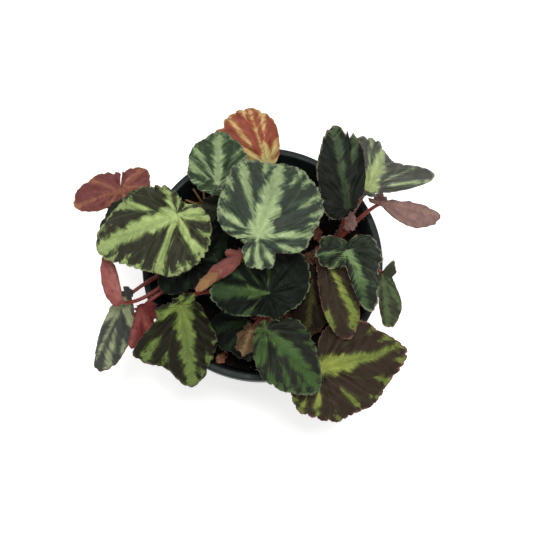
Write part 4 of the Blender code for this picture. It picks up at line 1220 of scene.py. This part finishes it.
class BEGONIA_OT_pot(bpy.types.Operator):
    """Moulds the pot with its rounded lip, skirt, stacking step and drain holes"""

    bl_idname = "begonia.pot"
    bl_label = "Pot"

    def execute(self, context):
        edge = RIM_RADIUS - LIP_WIDTH
        slope_top = STEP_HEIGHT + STEP_SLOPE
        outside = [
            (0, 0),
            (FLOOR_RADIUS - BASE_EASE, 0),
            (FLOOR_RADIUS - STEP_WIDTH, BASE_RISE),
            (wall_radius(STEP_HEIGHT) - STEP_WIDTH, STEP_HEIGHT),
            (wall_radius(slope_top), slope_top),
            (edge - WALL_EASE, POT_HEIGHT - LIP_THICK),
            (RIM_RADIUS - SKIRT_ROOT, POT_HEIGHT - LIP_THICK),
            (RIM_RADIUS - SKIRT_FOOT, POT_HEIGHT - SKIRT_DROP),
            (RIM_RADIUS - SKIRT_LEAN, POT_HEIGHT - SKIRT_DROP),
            (RIM_RADIUS, POT_HEIGHT - LIP_EASE),
            (RIM_RADIUS - LIP_FLAT, POT_HEIGHT),
        ]
        inside = [
            (edge - WALL + LIP_INSIDE, POT_HEIGHT),
            (edge - WALL, POT_HEIGHT - LIP_FLAT),
            (inner_radius(slope_top), slope_top),
            (inner_radius(STEP_HEIGHT - 1), STEP_HEIGHT - 1),
            (inner_radius(FLOOR + 2), FLOOR + 2),
            (inner_radius(FLOOR) - 2, FLOOR),
            (0, FLOOR),
        ]
        shape = Shape()
        shape.add(*turned(rounded(outside + inside, CORNER), POT_SIDES))
        piece = shape.build("moulded_pot", [pot_material(context.scene.begonia_colours.pot)])
        drill_holes(piece)
        settle(piece, "pot_green", "pot")
        return {"FINISHED"}


def drill_holes(piece):
    """Cuts the ring of drain holes through the pot's floor."""
    cutter = Shape()
    for k in range(DRAIN_COUNT):
        angle = TURN * (k + 0.5) / DRAIN_COUNT
        x, y = DRAIN_RING * math.cos(angle), DRAIN_RING * math.sin(angle)
        axis = [(x, y, z) for z in (-DRILL_REACH, 0, DRILL_REACH)]
        cutter.add(*tube(axis, [DRAIN_RADIUS] * len(axis), HOLE_SIDES))
    drill = cutter.build("drill", [])
    modifier = piece.modifiers.new("holes", "BOOLEAN")
    modifier.operation = "DIFFERENCE"
    modifier.object = drill
    graph = bpy.context.evaluated_depsgraph_get()
    piece.data = bpy.data.meshes.new_from_object(piece.evaluated_get(graph))
    piece.modifiers.remove(modifier)
    piece.data.set_sharp_from_angle(angle=math.radians(POT_SHARP))
    bpy.data.objects.remove(drill)


class BEGONIA_OT_soil(bpy.types.Operator):
    """Fills the pot with peat and strews crumbs, bark and perlite on it"""

    bl_idname = "begonia.soil"
    bl_label = "Soil"

    def execute(self, context):
        points, faces = soil_mesh()
        bed, top = Shape(), Shape()
        bed.add(points, faces)
        top.add(points, [face for face in faces if min(points[i][2] for i in face) > SOIL_TOP - 1.5])
        piece = bed.build("peat_bed", [peat_material()], sharp=180)
        surface = top.build("surface", [])
        strew(surface, context.scene.begonia_sizes.grain)
        bpy.data.objects.remove(surface)
        settle(piece, "peat", "soil")
        return {"FINISHED"}


def soil_mesh():
    """Points and faces of the soil, from the pot's floor up along the wall and in over its rough top."""
    angles = TURN * np.arange(SOIL_SIDES) / SOIL_SIDES
    reach = inner_radius(SOIL_TOP) - CLEAR - 0.5
    side = [
        (inner_radius(FLOOR) - 3.2, FLOOR + CLEAR),
        (inner_radius(FLOOR + 3) - CLEAR - 0.3, FLOOR + 3.5),
        (inner_radius(STEP_HEIGHT - 1) - CLEAR, STEP_HEIGHT - 1),
        (inner_radius(STEP_HEIGHT + STEP_SLOPE) - CLEAR, STEP_HEIGHT + STEP_SLOPE + 0.2),
        (reach, SOIL_TOP - 3),
    ]
    points = [(r * math.cos(a), r * math.sin(a), z) for r, z in side for a in angles]
    for k in range(SOIL_RINGS):
        radius = reach * (1 - k / SOIL_RINGS) ** 0.9
        for angle in angles:
            x, y = radius * math.cos(angle), radius * math.sin(angle)
            rough = 0.9 * noise.noise(Vector((x, y, 9)) / 3.0) + 0.5 * noise.noise(Vector((x, y, 4)) / 1.3)
            points.append((x, y, soil_height(x, y) + rough if k else SOIL_TOP - 0.6))
    points += [(0, 0, FLOOR + CLEAR), (0, 0, soil_height(0, 0))]
    return points, ring_faces(len(side) + SOIL_RINGS, SOIL_SIDES)


def strew(surface, grain):
    """Crumbs of peat, chips of bark, fibres and a few grains of perlite on the soil."""
    tree = grain_tree()
    for name, material, density, size, narrowest, widest, seed in (
        ("peat_crumbs", peat_material(), 3.2e5, grain, (0.5, 0.5, 0.4), (1.7, 1.5, 1.2), 3),
        ("bark_chips", bark_material(), 3.0e4, grain, (0.8, 0.4, 0.25), (3.2, 1.3, 0.5), 8),
        ("peat_fibres", bark_material(), 2.4e4, grain * 0.22, (5, 0.7, 0.7), (18, 1.2, 1.2), 5),
        ("perlite_grains", perlite_material(), 9e3, grain * 0.8, (0.5, 0.5, 0.5), (1.2, 1.1, 1.0), 13),
    ):
        values = {"Density": density, "Size": size * MM, "Narrowest": narrowest, "Widest": widest}
        settle(grown_on(name, surface, tree, {**values, "Seed": seed, "Material": material}), "peat")


def peat_material():
    """Damp peat: nearly black, fibrous and crumbly, with no shine."""
    return plain_material("damp_black_peat", ("#070706", "#100e0c", "#211b16"), 1.6, 0.95, 0.8, 0.6, 0.15)


def bark_material():
    """Composted bark: dark brown chips with a dull broken face."""
    return plain_material("composted_bark", ("#140f0c", "#251b14", "#3e2f22"), 1.2, 0.9, 0.6, 0.3, 0.2)


def perlite_material():
    """Perlite: expanded volcanic glass, dull grey-white and pitted, dirtied by the peat."""
    return plain_material("soiled_perlite", ("#5d5950", "#8d8a80", "#b9b7ae"), 0.7, 0.85, 0.5, 0.2, 0.3)


class BEGONIA_OT_stalks(bpy.types.Operator):
    """Grows the four rhizomes with their leaf stalks and papery scales"""

    bl_idname = "begonia.stalks"
    bl_label = "Rhizomes and stalks"

    def execute(self, context):
        materials = [stalk_material(), rhizome_material()]
        length = context.scene.begonia_sizes.hair
        scales = Shape()
        for index, crown in enumerate(CROWNS):
            shape = Shape()
            add_rhizome(shape, crown)
            for leaf in [leaf for leaf in LEAVES if leaf.crown == index]:
                line = petiole_line(leaf, STALK_POINTS)
                add_stalk(shape, leaf, line)
                add_scales(scales, leaf, line)
            piece = shape.build("stalks_" + crown.name, materials)
            settle(piece, "stem_red", "stems_" + crown.name)
            hairs = grow_hairs("stalk_hairs_" + crown.name, piece, STALK_HAIRS, length, index)
            settle(hairs, "stem_red")
        settle(scales.build("papery_scales", [scale_material()]), "dry_tan")
        return {"FINISHED"}


def add_rhizome(shape, crown):
    """A knobbly creeping stem, ringed by the scars of old leaves."""
    shares = np.linspace(-0.04, 1.04, RHIZOME_POINTS)
    centres = np.array([rhizome_point(crown, s) for s in shares])
    blunt = np.clip(1 - (np.abs(shares - 0.5) / 0.56) ** 6, 0.05, 1) ** 0.5
    rings = 1 + 0.07 * np.sin(shares * 44) + 0.04 * np.sin(shares * 91 + 1)
    radii = RHIZOME_RADIUS * 0.98 * blunt * rings
    points, faces = tube(centres, radii, RHIZOME_SIDES, 0.06, crown.heading)
    shape.add(points, faces, 1, grown=np.zeros(len(points)))


def add_stalk(shape, leaf, line):
    """A leaf stalk, a little swollen where it leaves the rhizome and under the blade."""
    t = np.linspace(0, 1, len(line))
    radii = PETIOLE_FOOT + (PETIOLE_NECK - PETIOLE_FOOT) * t
    radii = radii + 0.5 * np.exp(-t / 0.05) + 0.35 * np.exp(-(1 - t) / 0.03)
    points, faces = tube(line, radii, STALK_SIDES, 0.05, leaf.heading)
    shape.add(points, faces, 0, grown=np.append(np.repeat(t, STALK_SIDES), (0, 1)))


def sheet_places(rows, columns):
    """How far along, 0 to 1, and how far across, -1 to 1, each point of a small sheet lies."""
    t, s = np.meshgrid(np.linspace(0, 1, rows), np.linspace(-1, 1, columns), indexing="ij")
    return t.reshape(-1, 1), s.reshape(-1, 1)


def thin_sheet(upper, rows, columns, thickness):
    """Points and faces of a closed thin sheet under a grid of points, as thick as the vector says."""
    sheet = grid_faces(rows, columns)
    count = rows * columns
    border = list(range(columns)) + [r * columns + columns - 1 for r in range(1, rows)]
    border += [count - 2 - c for c in range(columns - 1)] + [r * columns for r in range(rows - 2, 0, -1)]
    wall = [[a, b, b + count, a + count] for a, b in zip(border, border[1:] + border[:1])]
    faces = [f[::-1] for f in sheet] + [[i + count for i in f] for f in sheet] + wall
    return np.concatenate([upper, upper - thickness]), faces


def add_scales(shape, leaf, line):
    """Two thin papery scales that wrap the foot of a stalk."""
    t, s = sheet_places(*SCALE_GRID)
    half = 2.4 * np.sin(math.pi * np.minimum(t * 0.8 + 0.12, 1)) + 0.15
    outward = 1.6 * t * t + 0.8 * s * s + 0.2 * np.sin(9 * t + leaf.heading)
    for side in (-1, 1):
        angle = math.radians(leaf.heading * 1.7 + side * 70)
        out = np.array((math.cos(angle), math.sin(angle), 0.0))
        across = np.array((-out[1], out[0], 0.0))
        foot = line[1] + out * 1.6
        foot[2] = SOIL_TOP + SOIL_CROWN + RHIZOME_RADIUS * 1.1
        upper = foot + UP * SCALE_LENGTH * t + out * outward + across * half * s
        shape.add(*thin_sheet(upper, *SCALE_GRID, out * SCALE_THICK))


def add_flake(shape, k, x, y, heading, length):
    """A torn bit of dry leaf that lies curled on the soil."""
    turn = math.radians(heading)
    along = np.array((math.cos(turn), math.sin(turn), 0.0))
    across = np.array((along[1], -along[0], 0.0))
    foot = np.array((x, y, soil_height(x, y) + 1.2))
    t, s = sheet_places(*FLAKE_GRID)
    half = length * (0.34 * np.sin(math.pi * np.minimum(0.9 * t + 0.06, 1)) + 0.03)
    half = half * (1 + 0.25 * np.sin(7 * t + 2 * k) + 0.12 * np.sin(19 * t + k))
    lift = 0.16 * length * s * s + 0.5 * np.sin(5 * t + 3 * s + k) + 0.3 * np.sin(13 * t + k)
    upper = foot + along * length * (t - 0.5) + across * half * s + UP * lift
    shape.add(*thin_sheet(upper, *FLAKE_GRID, UP * FLAKE_THICK))


def stalk_material():
    """A living leaf stalk: translucent red skin over a watery core, paler towards the soil."""
    material, node, shader = new_material("hairy_red_stalk")
    place = node("ShaderNodeTexCoord").outputs["Object"]
    # Speckles about 0.9 mm across
    speckle = node("ShaderNodeTexNoise", {"Vector": place, "Scale": 1100.0, "Detail": 3.0})
    grown = node("ShaderNodeAttribute", attribute_name="grown").outputs["Fac"]
    stops = ((0.0, "#4a4029"), (0.3, "#6c3828"), (1.0, "#7d2f25"))
    along = node("ShaderNodeValToRGB", {"Fac": grown}, stops=stops)
    light = node(
        "ShaderNodeMapRange",
        {"Value": speckle, "From Min": 0.35, "From Max": 0.65, "To Min": 0.7, "To Max": 1.25},
    )
    mixed = node("ShaderNodeMix", {0: 1.0, 6: along, 7: light}, data_type="RGBA", blend_type="MULTIPLY")
    bump = node("ShaderNodeBump", {"Strength": 0.3, "Distance": 0.1 * MM, "Height": speckle})
    set_inputs(shader, {"Base Color": mixed, "Normal": bump, "Roughness": 0.4, "IOR": CELL_IOR})
    return material


def rhizome_material():
    """A rhizome's corky skin: brown-green, scarred and dull."""
    return plain_material("corky_rhizome", ("#2d2a1c", "#4b4029", "#6d5136"), 1.5, 0.7, 0.6, 0.3, 0.3)


def hair_material():
    """Plant hairs: colourless cells, which look pale pink over the red stalk."""
    return plain_material("pale_plant_hair", ("#a58474", "#c9b5a2"), 3.0, 0.5, 0.0, 0.1, 0.3)


def scale_material():
    """Dry stipules: papery brown scales, thin and wrinkled."""
    return plain_material("papery_stipule", ("#5a3a2c", "#8a5c45", "#b08a68"), 1.8, 0.75, 0.5, 0.2, 0.25)


def straw_material():
    """Dead stalks: straw, dull and fibrous."""
    return plain_material("weathered_straw", ("#5c4829", "#96784a", "#c5a66c"), 1.4, 0.8, 0.5, 0.2, 0.25)


class BEGONIA_OT_leaves(bpy.types.Operator):
    """Unfolds the leaf blades with their stripes, veins, teeth and fringe of hairs"""

    bl_idname = "begonia.leaves"
    bl_label = "Leaves"

    def execute(self, context):
        skins = {face.name: blade_material(face) for face in FACES}
        edges = Shape()
        for leaf in LEAVES:
            look = LOOKS[leaf.name]
            sides = [skins[look.shown], skins[look.hidden]]
            piece, (high, low) = blade(leaf, context.scene.begonia_sizes, sides)
            slot = "leaf_green" if leaf.face > 0 else "leaf_red"
            settle(piece, "dry_tan" if leaf.name == "dried_leaf" else slot, leaf.name)
            count = len(high)
            strip = [[j, j + count, j + count + 1, j + 1] for j in range(count - 1)]
            edges.add(np.concatenate([high, low]), strip)
        source = edges.build("edges", [])
        fringe = grow_hairs("margin_hairs", source, MARGIN_HAIRS, MARGIN_HAIR_LENGTH)
        bpy.data.objects.remove(source)
        settle(fringe, "leaf_green")
        return {"FINISHED"}


class BEGONIA_OT_straws(bpy.types.Operator):
    """Leans the dry stalks of lost leaves on the pot's wall and drops torn bits of dry leaf"""

    bl_idname = "begonia.straws"
    bl_label = "Dry stalks and flakes"

    def execute(self, context):
        x, y = DRY_FOOT
        straws, flakes = Shape(), Shape()
        heights = np.linspace(SOIL_TOP - DRY_DEPTH, SOIL_TOP + 4, 14)
        radii = DRY_FOOT_RADIUS * (1 + 0.08 * np.sin(heights * 2.1))
        straws.add(*tube([(x, y, z) for z in heights], radii, 14, 0.08, 2.0))
        for k, end in enumerate(DRY_ENDS):
            start, stop = np.array((x, y, SOIL_TOP + 3.4)), np.array(end, float)
            middle = (start + stop) / 2 + UP * (2 - k)
            line = curve_points(start, middle, middle, stop, 18)
            taper = DRY_RADIUS * (1 - 0.25 * np.linspace(0, 1, len(line)))
            straws.add(*tube(line, taper, 10, 0.12, 1.3 * k))
        settle(straws.build("straw_stalks", [straw_material()]), "dry_tan", "dry_stalks")
        for k, flake in enumerate(FLAKES):
            add_flake(flakes, k, *flake)
        settle(flakes.build("fallen_flakes", [scale_material()]), "dry_tan")
        return {"FINISHED"}


class BEGONIA_OT_stage(bpy.types.Operator):
    """Sets the pale floor, the soft lights and the camera"""

    bl_idname = "begonia.stage"
    bl_label = "Stage"

    def execute(self, context):
        scene = context.scene
        scene.view_settings.view_transform = "Standard"
        pale_floor(scene.begonia_colours.floor)
        scene.world = bpy.data.worlds.new("studio")
        scene.world.use_nodes = True
        sky = scene.world.node_tree.nodes["Background"]
        set_inputs(sky, {"Color": (1.0, 1.0, 1.0, 1.0), "Strength": WORLD_LIGHT})
        for light in LIGHTS:
            add_light(*light)
        scene.camera = shot_camera()
        return {"FINISHED"}


def shot_camera():
    """The camera at the photograph's place, turned to what the photograph aims at."""
    lens = bpy.data.cameras.new("camera")
    lens.sensor_width = SENSOR
    lens.lens = SENSOR * SHOT_DISTANCE / (SHOT_WIDTH * SHOT_PIXEL)
    lens.clip_start, lens.clip_end = 0.01, VIEW_END
    turn, rise = math.radians(SHOT_AZIMUTH), math.radians(SHOT_ELEVATION)
    back = Vector((math.sin(turn) * math.cos(rise), -math.cos(turn) * math.cos(rise), math.sin(rise)))
    right = Vector((0, 1, 0)).cross(back).normalized()
    eye = stand("camera", lens)
    eye.location = (Vector(SHOT_AIM) + back * SHOT_DISTANCE) * MM
    eye.rotation_euler = Matrix((right, back.cross(right), back)).transposed().to_euler()
    return eye


def pale_floor(colour):
    """A wide round floor of matt paper."""
    mesh = bmesh.new()
    bmesh.ops.create_circle(mesh, cap_ends=True, segments=96, radius=FLOOR_REACH)
    data = bpy.data.meshes.new("floor")
    mesh.to_mesh(data)
    mesh.free()
    data.transform(Matrix.Translation((0, 0, -FLOOR_GAP * MM)))
    material, _, shader = new_material("matt_white_paper")
    set_inputs(shader, {"Base Color": (*colour, 1.0), "Roughness": 0.9, "Specular IOR Level": 0.1})
    set_inputs(shader, {"Emission Color": (1.0, 1.0, 1.0, 1.0), "Emission Strength": FLOOR_GLOW})
    data.materials.append(material)
    return stand("floor", data)


def add_light(name, place, size, power):
    """A round soft light that faces the plant; place and size in millimetres, power in watts."""
    light = bpy.data.lights.new(name, "AREA")
    light.shape = "DISK"
    light.size = size * MM
    light.energy = power
    lamp = stand(name, light)
    lamp.location = Vector(place) * MM
    lamp.rotation_euler = (Vector(LIT) * MM - lamp.location).to_track_quat("-Z", "Y").to_euler()


class BEGONIA_PT_panel(bpy.types.Panel):
    """Lists the steps and the sizes and colours"""

    bl_label = "Potted begonia"
    bl_space_type = "VIEW_3D"
    bl_region_type = "UI"
    bl_category = "Begonia"

    def draw(self, context):
        layout = self.layout
        for step in STEPS:
            layout.operator(step.bl_idname)
        for group in (context.scene.begonia_sizes, context.scene.begonia_colours):
            for key in group.__annotations__:
                layout.prop(group, key)


STEPS = (
    BEGONIA_OT_pot,
    BEGONIA_OT_soil,
    BEGONIA_OT_stalks,
    BEGONIA_OT_leaves,
    BEGONIA_OT_straws,
    BEGONIA_OT_stage,
)
CLASSES = (BegoniaSizes, BegoniaColours) + STEPS + (BEGONIA_PT_panel,)


def register():
    for kind in CLASSES:
        bpy.utils.register_class(kind)
    bpy.types.Scene.begonia_sizes = bpy.props.PointerProperty(type=BegoniaSizes)
    bpy.types.Scene.begonia_colours = bpy.props.PointerProperty(type=BegoniaColours)


def unregister():
    del bpy.types.Scene.begonia_colours
    del bpy.types.Scene.begonia_sizes
    for kind in reversed(CLASSES):
        bpy.utils.unregister_class(kind)


def main():
    register()
    bpy.ops.begonia.pot()
    bpy.ops.begonia.soil()
    bpy.ops.begonia.stalks()
    bpy.ops.begonia.leaves()
    bpy.ops.begonia.straws()
    bpy.ops.begonia.stage()


if __name__ == "__main__":
    main()
